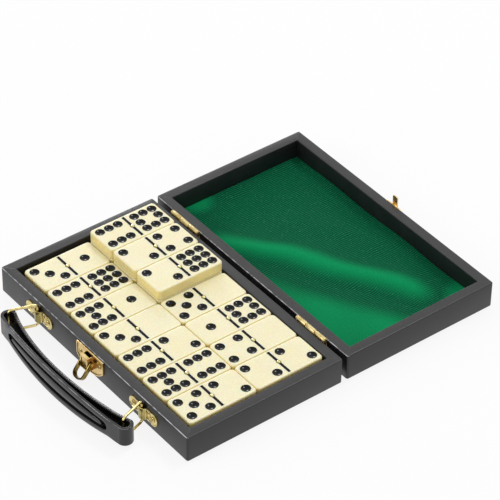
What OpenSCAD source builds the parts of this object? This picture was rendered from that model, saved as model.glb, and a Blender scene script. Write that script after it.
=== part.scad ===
// A slim case for a set of dominoes, lying open: the tray of tiles in front, the lined lid laid back behind it.
// X runs along the hinge side, Y from the handle to the hinge and the lid, Z up.
// The origin is under the middle of the open case, on the surface that it lies on.

/* [Case] */
// Length of both shells, along the hinge side
case_w = 189; // [176:1:230]
// Depth of each shell, from handle side to hinge side
case_d = 113; // [107:1:140]
// Height of the tray
tray_h = 18; // [17.5:0.5:28]
// Height of the lid
lid_h = 18; // [15:0.5:28]
// Thickness of the boards in the four walls
board_t = 5.9; // [4:0.1:7]
// Thickness of the floor and lid boards
floor_t = 2; // [1.5:0.1:4]
// Thickness of the leatherette covering
skin_t = 0.5; // [0.3:0.1:1]
// Radius of the upright corners
corner_r = 1.6; // [0.8:0.1:4]
// Thickness of the flat lining in the tray
lining_t = 0.5; // [0.3:0.1:1.5]
// Gap between the two rims when the case is shut
rim_gap = 0.3; // [0.1:0.1:1]

/* [Lid lining] */
// Cloth thickness where it lies flat
cloth_t = 0.6; // [0.4:0.1:1.5]
// Height of the loose folds above the flat cloth
fold_h = 3; // [1:0.1:5]
// Distance from one fold to the next
fold_step = 34; // [24:1:60]
// Gap between the cloth and the walls
cloth_gap = 0.3; // [0.2:0.1:1]

/* [Hinges] */
// Distance of each hinge's middle from the end of the case
hinge_in = 32.2; // [26:0.1:60]
// Length of a hinge
hinge_len = 26; // [18:0.5:36]
// Gap between the shells when the lid lies open
hinge_gap = 3.5; // [3.3:0.1:6]
// Outer radius of the hinge barrel
barrel_r = 1.55; // [1.3:0.05:1.6]
// Radius of the hinge pin
hinge_pin_r = 0.75; // [0.5:0.05:0.9]
// Radial clearance of the pin in the knuckles
hinge_fit = 0.05; // [0.02:0.01:0.1]
// Thickness of a hinge leaf
leaf_t = 0.7; // [0.5:0.05:0.9]
// Length of a leaf below the barrel
leaf_drop = 9; // [6:0.5:11]
// Gap between neighbouring knuckles
knuckle_gap = 0.25; // [0.1:0.05:0.5]
// Radius of the hinge screw heads
hinge_screw_r = 1.5; // [1:0.1:2]

/* [Latch] */
// Width of the arched plate
plate_w = 26.6; // [22:0.2:34]
// Height of the plate's straight sides
plate_side = 9; // [7:0.2:10]
// Height of the arch below the sides
plate_arch = 6.4; // [4:0.2:7]
// Thickness of the plate
plate_t = 0.8; // [0.6:0.1:1.2]
// Distance of the plate's straight edge below the rim
plate_below = 0.9; // [0.5:0.1:2]
// Width of the raised edge round the plate
plate_lip_w = 0.9; // [0.6:0.1:1.5]
// Height of the raised edge
plate_lip_h = 0.4; // [0.2:0.1:0.5]
// Distance of each plate screw from the middle
plate_screw_x = 9.4; // [7.5:0.1:10.5]
// Radius of the plate's screw heads
plate_screw_r = 1.6; // [1.2:0.1:2]
// Width of the catch housing
housing_w = 7.2; // [6:0.2:10]
// Height of the catch housing
housing_h = 9.8; // [8:0.2:11]
// Reach of the housing out from the plate
housing_u = 4.6; // [4:0.1:6]
// Sheet thickness of the housing
housing_t = 0.7; // [0.5:0.1:0.9]
// Depth of the slot that takes the lid's tongue
slot_u = 2.4; // [2:0.1:2.8]
// Height of the latch pin above the surface
latch_pin_z = 10.9; // [10:0.1:11.5]
// Distance of the latch pin's axis from the plate
latch_pin_u = 2.2; // [2:0.1:2.4]
// Radius of the latch pin
latch_pin_r = 0.7; // [0.5:0.05:0.8]
// Radial clearance of the pull ring on its pin
latch_fit = 0.06; // [0.02:0.01:0.1]
// Length of the pull ring, pin axis to outer end
pull_len = 12; // [9:0.1:12.4]
// Width of the strip that the pull ring is bent from
pull_strip = 3.2; // [2.4:0.1:3.6]
// Thickness of that strip
pull_t = 0.9; // [0.6:0.1:1.2]
// Side gap between the pull ring and the housing
pull_gap = 0.2; // [0.1:0.05:0.5]
// Lean of the pull ring out from the plate, at rest
pull_lean = 38; // [36:1:60]

/* [Keeper] */
// Width of the keeper plate on the lid
keeper_w = 15; // [13:0.5:22]
// Height of the keeper plate
keeper_h = 9; // [7:0.5:12]
// Thickness of the keeper plate and its tongue
keeper_t = 0.8; // [0.6:0.1:1]
// Width of the tongue
tongue_w = 4.4; // [3:0.1:4.8]
// Length of the tongue past the rim
tongue_len = 5.4; // [4:0.1:6]

/* [Handle brackets] */
// Distance of each bracket inwards from the handle's end
bracket_in = 11.1; // [10:0.1:13]
// Height of the bracket's middle above the surface
bracket_z = 9; // [8.6:0.1:10]
// Distance between the two screws of a bracket
bracket_screws = 18.6; // [16:0.1:22]
// Radius of the bracket's round ends
lobe_r = 4.3; // [3.6:0.1:4.8]
// Sheet thickness of a bracket
bracket_t = 0.9; // [0.6:0.1:1.2]
// Height of the hump that holds the ring
hump_h = 8; // [6:0.1:9]
// Outer radius of the hump
hump_r = 3.2; // [2.8:0.1:4]
// Gap between the hump and the wire
hump_fit = 0.2; // [0.1:0.05:0.4]
// Radius of the bracket's screw heads
bracket_screw_r = 1.7; // [1.3:0.1:2.2]

/* [Handle rings] */
// Radius of the ring wire
wire_r = 0.85; // [0.7:0.05:1]
// Height of a ring, wire centre to wire centre
ring_h = 15.8; // [15.4:0.1:16]
// Reach of a ring from the bracket to the handle
ring_len = 18.1; // [15:0.1:20]
// Outward lean of the two rings
ring_lean = 18; // [10:1:22]
// Bend radius of the wire at its centre line
ring_bend = 2.2; // [1.8:0.1:3]
// Height of the middle of rings and handle above the surface
ring_z = 9.5; // [9.4:0.1:10]

/* [Handle] */
// Length of the handle
handle_len = 128; // [126:1:140]
// Height of the handle at its ends
handle_end_h = 13; // [10:0.1:13.4]
// Height of the handle in the middle
handle_mid_h = 18.4; // [14:0.1:18.6]
// Thickness of the two moulded bands
band_t = 2; // [1.4:0.1:2.4]
// Outer radius of the round ends
loop_r = 5.1; // [4.6:0.1:5.6]
// Thickness of the handle in the middle
handle_mid_t = 5.3; // [4.4:0.1:7]
// Bow of the outer face, middle to end
bow_out = 5.4; // [3:0.1:6]
// Distance of the round ends' middle out past the ring wire
loop_off = 0.7; // [0:0.1:1.2]
// Length of the straight part at each end of the handle
straight_end = 12; // [10:0.5:20]
// Gap between the left ring's wire and the handle's end
handle_play = 0.3; // [0.2:0.05:0.6]
// Half length of the solid core between the bands
core_half = 16; // [8:1:24]
// Length of the sunk panel in the outer face
panel_len = 98; // [70:1:104]
// Depth of the sunk panel
panel_sink = 0.7; // [0.3:0.1:1]
// Height of the sunk panel in its middle
panel_h = 10.4; // [7:0.1:12]
// Height of the raised rib in the panel
rib_h = 4.6; // [3:0.1:6]

/* [Tiles] */
// Room between the tiles and the end walls of the tray
row_room = 3; // [0.5:0.1:5]
// Room between the tiles and the front and back walls of the tray
column_room = 1.2; // [0.5:0.1:3]
// How far the tiles have slid from the middle towards the right end
tiles_right = 1.1; // [-2:0.1:2]
// How far the tiles have slid from the middle towards the hinges
tiles_back = 0.7; // [-0.7:0.1:0.7]
// Thickness of a tile
tile_t = 7.5; // [6:0.1:7.6]
// Radius of a tile's corners
tile_corner = 2.6; // [1:0.1:3]
// Gap between neighbouring tiles
tile_gap = 0.2; // [0.1:0.05:0.4]
// Radius of a pip
pip_r = 3.1; // [2:0.1:3.1]
// Depth of a pip
pip_deep = 0.9; // [0.5:0.1:1.4]
// Distance between pips across the tile
pip_dx = 6.8; // [6:0.1:7.4]
// Distance between pips along the tile
pip_dy = 6.6; // [6.4:0.1:7.4]
// How far the pips of each half lie from its middle towards the tile's end
pip_out = 0.7; // [0:0.1:0.9]
// Length of the dividing line
line_l = 21.2; // [16:0.2:22]
// Width of the dividing line
line_w = 1.8; // [0.8:0.1:2]
// Radius of the brass pin in the dividing line
tile_pin_r = 1.5; // [1:0.1:1.6]

/* [Hidden] */
$fn = 48;

wall_t = board_t + 2 * skin_t;
floor_z = skin_t + floor_t;
hinge_x = case_w / 2 - hinge_in;
bracket_x = handle_len / 2 - bracket_in;
swell_half = handle_len / 2 - straight_end;

// The tiles fill the tray: rows of seven along X, two columns along Y
rows = 7;
tile_w = (case_w - 2 * (wall_t + row_room) - (rows - 1) * tile_gap) / rows;
tile_l = (case_d - 2 * (wall_t + column_room) - tile_gap) / 2;

// The wire of a ring turns inside the bracket, this far clear of the covering
wire_clear = 0.7;
ring_pivot_u = wire_r + wire_clear;
ring_tip = [bracket_x + ring_len * sin(ring_lean), ring_pivot_u + ring_len * cos(ring_lean)];

// The tongue stands off the keeper plate, to clear the raised edge of the latch plate
tongue_clear = 0.2;
tongue_back = plate_lip_h + tongue_clear;
keeper_out = keeper_t + tongue_back + keeper_t;

// Places along Y: the front face of the tray, the hinge axis and the lid
handle_out = ring_tip[1] + loop_off + loop_r + bow_out;
total_d = handle_out + 2 * case_d + hinge_gap + keeper_out;
front_y = handle_out - total_d / 2;
back_y = front_y + case_d;
hinge_y = back_y + hinge_gap / 2;
lid_y = back_y + hinge_gap;
far_y = lid_y + case_d;
hinge_z = tray_h + rim_gap / 2;
lid_z = tray_h - lid_h;

// The handle's middle lies beside the case's, because its left end hangs on the left ring's wire
loop_u = ring_tip[1] + loop_off;
outer_u = loop_u + loop_r;
bow_half = handle_len / 2 - loop_r;
wire_seat = sqrt(pow(loop_r - band_t - wire_r - handle_play, 2) - loop_off * loop_off);
handle_x = bow_half + wire_seat - ring_tip[0];
bow_r = (bow_half * bow_half + bow_out * bow_out) / (2 * bow_out);
bow_in = outer_u + bow_out - handle_mid_t - (loop_u - loop_r);
bow_in_r = (bow_half * bow_half + bow_in * bow_in) / (2 * bow_in);

// Tile places: two columns of seven, two layers deep, and three more on top at the back left
tile_z = floor_z + lining_t;
column_y = [case_d / 2 - tile_l / 2 - tile_gap / 2, case_d / 2 + tile_l / 2 + tile_gap / 2];
row_step = tile_w + tile_gap;
raised = 3;
front_tiles = [[3, 1], [6, 9], [7, 1], [3, 0], [6, 2], [7, 6], [5, 2]];
back_tiles = [[6, 8], [2, 4], [2, 9], [5, 0], [1, 8], [4, 0], [2, 2]];

// Pip places in one half of a tile, in steps across and along
pip_places = [
  [],
  [[0, 0]],
  [[-1, -1], [1, 1]],
  [[-1, -1], [0, 0], [1, 1]],
  [[-1, -1], [1, 1], [-1, 1], [1, -1]],
  [[-1, -1], [1, 1], [-1, 1], [1, -1], [0, 0]],
  [for (x = [-1, 1], y = [-1 : 1]) [x, y]],
  concat([for (x = [-1, 1], y = [-1 : 1]) [x, y]], [[0, 0]]),
  [for (x = [-1 : 1], y = [-1 : 1]) if (x != 0 || y != 0) [x, y]],
  [for (x = [-1 : 1], y = [-1 : 1]) [x, y]],
];

// Colours
leatherette = [0.10, 0.10, 0.11];
board = [0.55, 0.45, 0.33];
green = [0.02, 0.42, 0.24];
brass = [0.85, 0.70, 0.36];
pale_brass = [0.88, 0.80, 0.56];
black = [0.05, 0.05, 0.05];
ivory = [0.96, 0.93, 0.78];

// A flat rectangle with true round corners
module round_rect(w, d, r) {
  square([w - 2 * r, d], center = true);
  square([w, d - 2 * r], center = true);
  for (x = [-1, 1], y = [-1, 1])
    translate([x * (w / 2 - r), y * (d / 2 - r)]) circle(r);
}

// A plain box that stands on z, middle at x = 0, from y0 to y1
module slab(w, y0, y1, z0, z1) {
  translate([-w / 2, y0, z0]) cube([w, y1 - y0, z1 - z0]);
}

// The covering of one shell: outside, rim and inner walls, with pockets for the boards
module shell_covering(h) {
  difference() {
    translate([0, case_d / 2, 0]) linear_extrude(h) round_rect(case_w, case_d, corner_r);
    slab(case_w - 2 * skin_t, skin_t, case_d - skin_t, skin_t, floor_z);
    difference() {
      slab(case_w - 2 * skin_t, skin_t, case_d - skin_t, skin_t, h - skin_t);
      slab(case_w - 2 * (wall_t - skin_t), wall_t - skin_t, case_d - wall_t + skin_t, 0, h);
    }
    slab(case_w - 2 * wall_t, wall_t, case_d - wall_t, skin_t, h + 1);
  }
}

// A wall board along X, from the floor board to under the rim
module long_board(y0, h) {
  slab(case_w - 2 * skin_t, y0, y0 + board_t, floor_z, h - skin_t);
}

// A wall board along Y, between the two long ones
module short_board(side, h) {
  x = side * (case_w / 2 - skin_t - board_t / 2);
  translate([x, 0, 0]) slab(board_t, skin_t + board_t, case_d - skin_t - board_t, floor_z, h - skin_t);
}

// The floor board of a shell
module flat_board() {
  slab(case_w - 2 * skin_t, skin_t, case_d - skin_t, skin_t, floor_z);
}

module at_tray() { translate([0, front_y, 0]) children(); }
module at_lid() { translate([0, lid_y, lid_z]) children(); }

module tray_wall_front() { color(board) at_tray() long_board(skin_t, tray_h); }
module tray_wall_back() { color(board) at_tray() long_board(case_d - skin_t - board_t, tray_h); }
module tray_wall_left() { color(board) at_tray() short_board(-1, tray_h); }
module tray_wall_right() { color(board) at_tray() short_board(1, tray_h); }
module tray_floor() { color(board) at_tray() flat_board(); }
module tray_covering() { color(leatherette) at_tray() shell_covering(tray_h); }
module tray_lining() {
  color(green) at_tray()
    slab(case_w - 2 * wall_t, wall_t, case_d - wall_t, floor_z, floor_z + lining_t);
}

module lid_wall_front() { color(board) at_lid() long_board(case_d - skin_t - board_t, lid_h); }
module lid_wall_back() { color(board) at_lid() long_board(skin_t, lid_h); }
module lid_wall_left() { color(board) at_lid() short_board(-1, lid_h); }
module lid_wall_right() { color(board) at_lid() short_board(1, lid_h); }
module lid_panel() { color(board) at_lid() flat_board(); }
module lid_covering() { color(leatherette) at_lid() shell_covering(lid_h); }

// The folds run across the cloth at a slant, sway a little, and fade along their length
fold_slant = 0.32;
fold_sway = 6;
fold_share = 0.75;
edge_share = 0.8;

// The loose cloth in the lid: height of its surface at u and v, both 0 to 1 across the cloth
function cloth_height(u, v, w, d) =
  let (
    along = v * d + fold_slant * u * w + fold_sway * sin(200 * u + 40),
    wave = (1 + cos(360 * along / fold_step)) / 2,
    fade = (1 + sin(150 * u + 15)) / 2,
    edge = pow(max(abs(2 * u - 1), abs(2 * v - 1)), 6)
  )
  cloth_t + fold_h * (fold_share * wave * wave * fade * (1 - edge) + edge_share * edge);

module lid_lining() {
  w = case_w - 2 * (wall_t + cloth_gap);
  d = case_d - 2 * (wall_t + cloth_gap);
  nx = 32;
  ny = 26;
  row = nx + 1;
  top = [for (j = [0 : ny], i = [0 : nx])
    [(i / nx - 0.5) * w, j / ny * d, cloth_height(i / nx, j / ny, w, d)]];
  floor_pts = [for (p = top) [p[0], p[1], 0]];
  n = len(top);
  rim = concat(
    [for (i = [0 : nx - 1]) i],
    [for (j = [0 : ny - 1]) j * row + nx],
    [for (i = [nx : -1 : 1]) ny * row + i],
    [for (j = [ny : -1 : 1]) j * row]
  );
  m = len(rim);
  mid = 2 * n;
  faces = concat(
    [for (j = [0 : ny - 1], i = [0 : nx - 1]) [j * row + i, (j + 1) * row + i, (j + 1) * row + i + 1]],
    [for (j = [0 : ny - 1], i = [0 : nx - 1]) [j * row + i, (j + 1) * row + i + 1, j * row + i + 1]],
    [for (k = [0 : m - 1]) [rim[k], rim[(k + 1) % m], n + rim[(k + 1) % m]]],
    [for (k = [0 : m - 1]) [rim[k], n + rim[(k + 1) % m], n + rim[k]]],
    [for (k = [0 : m - 1]) [mid, n + rim[k], n + rim[(k + 1) % m]]]
  );
  color(green) at_lid() translate([0, wall_t + cloth_gap, floor_z])
    polyhedron(points = concat(top, floor_pts, [[0, d / 2, 0]]), faces = faces);
}

// One knuckle of a hinge and the strap that joins it to its leaf; the leaf lies along Y = face
module knuckle(x0, x1, face) {
  translate([x0, 0, 0]) rotate([0, 90, 0]) cylinder(h = x1 - x0, r = barrel_r);
  translate([x0, face, -barrel_r - leaf_drop]) cube([x1 - x0, leaf_t, leaf_drop + barrel_r / 2]);
}

// A hinge leaf against one shell: side -1 is the tray's, 1 the lid's. The tray's has the middle knuckle and
// grips the pin; the lid's has the outer two and turns on it.
module hinge_leaf(x, side) {
  third = hinge_len / 3;
  gap = knuckle_gap / 2;
  spans = side < 0
    ? [[gap - third / 2, third / 2 - gap]]
    : [[-hinge_len / 2, -third / 2 - gap], [third / 2 + gap, hinge_len / 2]];
  face = side < 0 ? -hinge_gap / 2 : hinge_gap / 2 - leaf_t;
  bore = side < 0 ? hinge_pin_r : hinge_pin_r + hinge_fit;
  color(brass) translate([x, hinge_y, hinge_z]) difference() {
    union() {
      translate([-hinge_len / 2, face, -barrel_r - leaf_drop])
        cube([hinge_len, leaf_t, leaf_drop - knuckle_gap]);
      for (span = spans) knuckle(span[0], span[1], face);
    }
    translate([-hinge_len, 0, 0]) rotate([0, 90, 0]) cylinder(h = 2 * hinge_len, r = bore);
  }
}

// Thickness of the low round heads on the hinge pins and the latch pin, and their gap to what turns
pin_head_t = 0.4;
pin_head_gap = 0.1;
hinge_pin_head_r = barrel_r * 0.85;

// The hinge pin, with a low head at each end
module hinge_pin(x) {
  reach = hinge_len / 2 + pin_head_gap;
  color(pale_brass) translate([x, hinge_y, hinge_z]) rotate([0, 90, 0]) {
    translate([0, 0, -reach]) cylinder(h = 2 * reach, r = hinge_pin_r);
    translate([0, 0, -reach - pin_head_t]) cylinder(h = pin_head_t, r = hinge_pin_head_r);
    translate([0, 0, reach]) cylinder(h = pin_head_t, r = hinge_pin_head_r);
  }
}

// A domed screw head with a cross recess, on a face that looks along +Z
module screw_head(r, h) {
  ball = (r * r + h * h) / (2 * h);
  cross_l = r * 1.2;
  cross_w = r * 0.22;
  difference() {
    intersection() {
      translate([0, 0, h - ball]) sphere(ball);
      cylinder(h = h, r = r);
    }
    for (turn = [20, 110])
      rotate(turn) translate([-cross_l / 2, -cross_w / 2, h / 2]) cube([cross_l, cross_w, h]);
  }
}

// The flat screws of the hinge leaves, thin enough to miss the other leaf when the case lies open
hinge_screw_t = 0.35;
hinge_screw_place = 0.36;

module hinge_screws(side) {
  face = side < 0 ? -hinge_gap / 2 + leaf_t : hinge_gap / 2 - leaf_t;
  color(brass) for (x = [-hinge_x, hinge_x], s = [-hinge_screw_place, hinge_screw_place])
    translate([x + s * hinge_len, hinge_y + face, hinge_z - barrel_r - leaf_drop / 2])
      rotate([side * 90, 0, 0]) cylinder(h = hinge_screw_t, r1 = hinge_screw_r, r2 = hinge_screw_r * 0.7);
}

module hinge_left_tray_leaf() { hinge_leaf(-hinge_x, -1); }
module hinge_left_lid_leaf() { hinge_leaf(-hinge_x, 1); }
module hinge_left_pin() { hinge_pin(-hinge_x); }
module hinge_right_tray_leaf() { hinge_leaf(hinge_x, -1); }
module hinge_right_lid_leaf() { hinge_leaf(hinge_x, 1); }
module hinge_right_pin() { hinge_pin(hinge_x); }
module hinge_tray_screws() { hinge_screws(-1); }
module hinge_lid_screws() { hinge_screws(1); }

// What is fixed to the tray's front face is drawn lying flat, Z out of the face and Y up, then stood up here
module on_front(x, z) { translate([x, front_y, z]) rotate([90, 0, 0]) children(); }

plate_top = tray_h - plate_below;
plate_screw_drop = 5.8;
front_screw_h = 0.7;
arch_r = (pow(plate_w / 2, 2) + plate_arch * plate_arch) / (2 * plate_arch);

// The plate's outline, straight edge up at y = 0, drawn smaller all round by the margin
module plate_outline(margin) {
  translate([-plate_w / 2 + margin, -plate_side])
    square([plate_w - 2 * margin, plate_side - margin]);
  intersection() {
    translate([0, -plate_side - plate_arch + arch_r]) circle(arch_r - margin, $fn = 96);
    translate([-plate_w / 2 + margin, -plate_side - plate_arch])
      square([plate_w - 2 * margin, plate_arch + 1]);
  }
}

module latch_plate() {
  color(brass) on_front(0, plate_top) difference() {
    linear_extrude(plate_t + plate_lip_h) plate_outline(0);
    translate([0, 0, plate_t]) linear_extrude(plate_t) plate_outline(plate_lip_w);
  }
}

// The pin sits a little above the housing's middle
housing_low = 0.3;
housing_top = latch_pin_z + housing_h / 2 - housing_low;

// The box over the catch: closed in front and at the sides, open below, with a slot on top behind the lip
module latch_housing() {
  inner = housing_w - 2 * housing_t;
  color(brass) on_front(0, housing_top) difference() {
    translate([-housing_w / 2, -housing_h, plate_t]) cube([housing_w, housing_h, housing_u]);
    translate([-inner / 2, -housing_h - 1, plate_t - 1])
      cube([inner, housing_h + 1 - housing_t, housing_u + 1 - housing_t]);
    translate([-inner / 2, -housing_h / 2, plate_t - 1]) cube([inner, housing_h, slot_u + 1]);
    translate([0, latch_pin_z - housing_top, plate_t + latch_pin_u]) rotate([0, 90, 0])
      cylinder(h = 2 * housing_w, r = latch_pin_r, center = true);
  }
}

pull_inner = housing_w / 2 + pull_gap;
pull_outer = pull_inner + pull_t;
latch_pin_head_r = latch_pin_r + 0.4;
pull_bend = 3;

// The pin runs through the housing's sides and the ring's two eyes, with a low head outside each eye
module latch_pin() {
  reach = pull_outer + pin_head_gap;
  color(pale_brass) on_front(0, latch_pin_z) translate([0, 0, plate_t + latch_pin_u]) rotate([0, 90, 0]) {
    cylinder(h = 2 * reach, r = latch_pin_r, center = true);
    for (s = [-1, 1]) translate([0, 0, s * (reach + pin_head_t / 2)])
      cylinder(h = pin_head_t, r = latch_pin_head_r, center = true);
  }
}

// The pull ring: a flat strip bent into a U whose ends turn on the pin
module latch_ring() {
  arm = pull_len - pull_bend;
  mid = pull_outer - pull_bend;
  color(brass) on_front(0, latch_pin_z) translate([0, 0, plate_t + latch_pin_u])
    rotate([-pull_lean, 0, 0]) difference() {
      union() {
        translate([0, 0, -pull_strip / 2]) linear_extrude(pull_strip) difference() {
          union() {
            translate([-pull_outer, -arm]) square([2 * pull_outer, arm]);
            translate([-mid, -pull_len]) square([2 * mid, pull_len]);
            for (s = [-1, 1]) translate([s * mid, -arm]) circle(pull_bend);
          }
          translate([-pull_inner, -arm]) square([2 * pull_inner, arm + 1]);
          translate([-mid, -pull_len + pull_t]) square([2 * mid, pull_len]);
          for (s = [-1, 1]) translate([s * mid, -arm]) circle(pull_bend - pull_t);
        }
        for (s = [-1, 1]) translate([s * (pull_inner + pull_t / 2), 0, 0]) rotate([0, 90, 0])
          cylinder(h = pull_t, r = pull_strip / 2, center = true);
      }
      rotate([0, 90, 0]) cylinder(h = 4 * pull_outer, r = latch_pin_r + latch_fit, center = true);
    }
}

module latch_screws() {
  color(pale_brass) for (s = [-1, 1])
    on_front(s * plate_screw_x, plate_top - plate_screw_drop)
      translate([0, 0, plate_t]) screw_head(plate_screw_r, front_screw_h);
}

// What is fixed to the lid's far face is drawn the same way, and meets the front when the lid is shut
module on_far(x) { translate([x, far_y, lid_z + lid_h]) rotate([-90, 0, 0]) children(); }

// Keeper details: distance from the rim, the foot that joins tongue and plate, and the screws
keeper_rim = 0.5;
keeper_corner = 1.5;
foot_from = 0.8;
foot_h = 2.4;
keeper_screw_in = 2.6;
keeper_screw_r = 1.4;
keeper_screw_h = 0.5;

// The keeper: a plate on the lid, and a tongue that stands off it and drops into the housing's slot
module keeper_plate() {
  step = keeper_t + tongue_back;
  color(brass) on_far(0) {
    translate([0, keeper_h / 2 + keeper_rim, 0])
      linear_extrude(keeper_t) round_rect(keeper_w, keeper_h, keeper_corner);
    translate([-tongue_w / 2, foot_from, 0]) cube([tongue_w, foot_h, step + keeper_t]);
    translate([-tongue_w / 2, -tongue_len, step]) cube([tongue_w, tongue_len + foot_from + foot_h, keeper_t]);
  }
}

module keeper_screws() {
  color(pale_brass) for (s = [-1, 1])
    on_far(s * (keeper_w / 2 - keeper_screw_in))
      translate([0, keeper_h / 2 + keeper_rim, keeper_t]) screw_head(keeper_screw_r, keeper_screw_h);
}

// A handle bracket: a strap with round ends, humped in the middle over the ring's wire
module bracket(side) {
  hump_in = hump_r - bracket_t;
  hump_u = ring_pivot_u + wire_r + hump_fit - hump_in;
  color(pale_brass) on_front(side * bracket_x, bracket_z) difference() {
    union() {
      linear_extrude(bracket_t) {
        square([bracket_screws, hump_h], center = true);
        for (s = [-1, 1]) translate([s * bracket_screws / 2, 0]) {
          circle(lobe_r);
          translate([-s * lobe_r / 2, 0]) square([lobe_r, 2 * lobe_r], center = true);
        }
      }
      intersection() {
        translate([0, 0, hump_u]) rotate([90, 0, 0]) cylinder(h = hump_h, r = hump_r, center = true);
        translate([-hump_r, -hump_h / 2, 0]) cube([2 * hump_r, hump_h, hump_u + hump_r]);
      }
    }
    translate([0, 0, hump_u]) rotate([90, 0, 0]) cylinder(h = 3 * hump_h, r = hump_in, center = true);
    translate([-hump_in, -1.5 * hump_h, -1]) cube([2 * hump_in, 3 * hump_h, hump_u + 1]);
  }
}

module bracket_screws_at(side) {
  color(pale_brass) for (s = [-1, 1])
    on_front(side * bracket_x + s * bracket_screws / 2, bracket_z)
      translate([0, 0, bracket_t]) screw_head(bracket_screw_r, front_screw_h);
}

module bracket_left() { bracket(-1); }
module bracket_right() { bracket(1); }
module bracket_left_screws() { bracket_screws_at(-1); }
module bracket_right_screws() { bracket_screws_at(1); }

// A straight piece of wire along Z
module wire(h) { cylinder(h = h, r = wire_r); }

// One bend of the wire, a quarter turn from -Z to +Y about a centre on +Y
module wire_bend() {
  rotate([90, 0, 90])
    rotate_extrude(angle = 90) translate([ring_bend, 0]) circle(wire_r);
}

// A ring: one wire loop, upright in the bracket and upright again in the handle's end
module wire_ring(side) {
  leg = ring_h - 2 * ring_bend;
  arm = ring_len - 2 * ring_bend;
  color(pale_brass) translate([side * bracket_x, front_y - ring_pivot_u, ring_z])
    rotate([0, 0, side * ring_lean]) translate([0, -ring_len, -ring_h / 2]) {
      for (y = [0, ring_len]) translate([0, y, ring_bend]) wire(leg);
      for (z = [0, ring_h]) translate([0, ring_bend, z]) rotate([-90, 0, 0]) wire(arm);
      for (end = [[0, 0, 180], [1, 0, 270], [1, 1, 0], [0, 1, 90]])
        translate([0, ring_bend + end[0] * arm, ring_bend + end[1] * leg])
          rotate([end[2], 0, 0]) wire_bend();
    }
}

module ring_left() { wire_ring(-1); }
module ring_right() { wire_ring(1); }

// The handle is drawn in plan with its outer face towards +Y, then turned to face out from the case
module at_handle() {
  translate([handle_x, front_y, ring_z]) mirror([0, 1, 0]) children();
}

// Arcs of a very large circle are drawn in many steps
fine = 720;

// The core lies a little inside the edges of the bands. The panel and its rib taper towards their ends.
core_inset = 0.8;
panel_taper = 0.42;
rib_taper = 0.3;
rib_short = 4;

// An outline seen from the front: two shallow arcs from end to end, highest in the middle
module front_lens(half, mid, end) {
  rise = (mid - end) / 2;
  r = (half * half + rise * rise) / (2 * rise);
  intersection() {
    translate([0, mid / 2 - r]) circle(r, $fn = fine);
    translate([0, r - mid / 2]) circle(r, $fn = fine);
    square([2 * half, mid + 1], center = true);
  }
}

// The swell runs this much below the straight ends' height where it meets them
swell_dip = 0.5;

// The handle's outline seen from the front: straight ends and a swollen middle
module handle_front(margin) {
  square([handle_len, handle_end_h - 2 * margin], center = true);
  front_lens(swell_half, handle_mid_h - 2 * margin, handle_end_h - 2 * margin - swell_dip);
}

// A front outline cut right through the handle's thickness
module through_handle(y0, y1) {
  translate([0, y1, 0]) rotate([90, 0, 0]) linear_extrude(y1 - y0) children();
}

module outer_disc(sink) {
  translate([0, outer_u + bow_out - bow_r]) circle(bow_r - sink, $fn = fine);
}

module inner_disc(sink) {
  translate([0, outer_u + bow_out - handle_mid_t - bow_in_r]) circle(bow_in_r + sink, $fn = fine);
}

// Everything between the two end loops' centres
module middle_zone() {
  translate([-bow_half, 0]) square([2 * bow_half, outer_u + bow_out + 1]);
}

module handle_outer() {
  color(black) at_handle() difference() {
    intersection() {
      translate([0, 0, -handle_mid_h]) linear_extrude(2 * handle_mid_h) {
        intersection() {
          difference() { outer_disc(0); outer_disc(band_t); }
          middle_zone();
        }
        for (s = [-1, 1]) translate([s * bow_half, loop_u]) difference() {
          circle(loop_r);
          circle(loop_r - band_t);
          translate([s > 0 ? -2 * loop_r : 0, -loop_r]) square(2 * loop_r);
        }
      }
      through_handle(0, outer_u + bow_out + 1) handle_front(0);
    }
    difference() {
      through_handle(outer_u - bow_out, outer_u + bow_out + 1) difference() {
        front_lens(panel_len / 2, panel_h, panel_h * panel_taper);
        front_lens(panel_len / 2 - rib_short, rib_h, rib_h * rib_taper);
      }
      translate([0, 0, -handle_mid_h]) linear_extrude(2 * handle_mid_h) outer_disc(panel_sink);
    }
  }
}

module handle_inner() {
  color(black) at_handle() intersection() {
    translate([0, 0, -handle_mid_h]) linear_extrude(2 * handle_mid_h) intersection() {
      difference() { inner_disc(band_t); inner_disc(0); }
      middle_zone();
    }
    through_handle(0, outer_u + bow_out + 1) handle_front(0);
  }
}

module handle_core() {
  color(black) at_handle() intersection() {
    translate([0, 0, -handle_mid_h]) linear_extrude(2 * handle_mid_h) intersection() {
      difference() { outer_disc(band_t); inner_disc(band_t); }
      translate([-core_half, 0]) square([2 * core_half, outer_u + bow_out]);
    }
    through_handle(0, outer_u + bow_out + 1) handle_front(core_inset);
  }
}

// Depths of the dividing line and of the brass pin's hole, the pin's dome, and the black film in a pip
line_deep = 0.5;
pin_deep = 1.5;
pin_dome = 0.5;
pip_film = 0.25;

// Moves to the middle of a tile's underside
module at_tile(column, row, layer) {
  translate([(row - (rows - 1) / 2) * row_step + tiles_right,
             front_y + column_y[column] + tiles_back, tile_z + layer * tile_t]) children();
}

module blank_tile() { linear_extrude(tile_t) round_rect(tile_w, tile_l, tile_corner); }

// The hollow of one pip, a shallow cap of a ball
module pip_hollow() {
  ball = (pip_r * pip_r + pip_deep * pip_deep) / (2 * pip_deep);
  translate([0, 0, ball - pip_deep]) sphere(ball);
}

// Repeats its children at every pip of a tile, on its upper face
module at_pips(halves) {
  for (half = [0, 1], p = pip_places[halves[half]])
    translate([p[0] * pip_dx, (half * 2 - 1) * (tile_l / 4 + pip_out) + p[1] * pip_dy, tile_t]) children();
}

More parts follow.
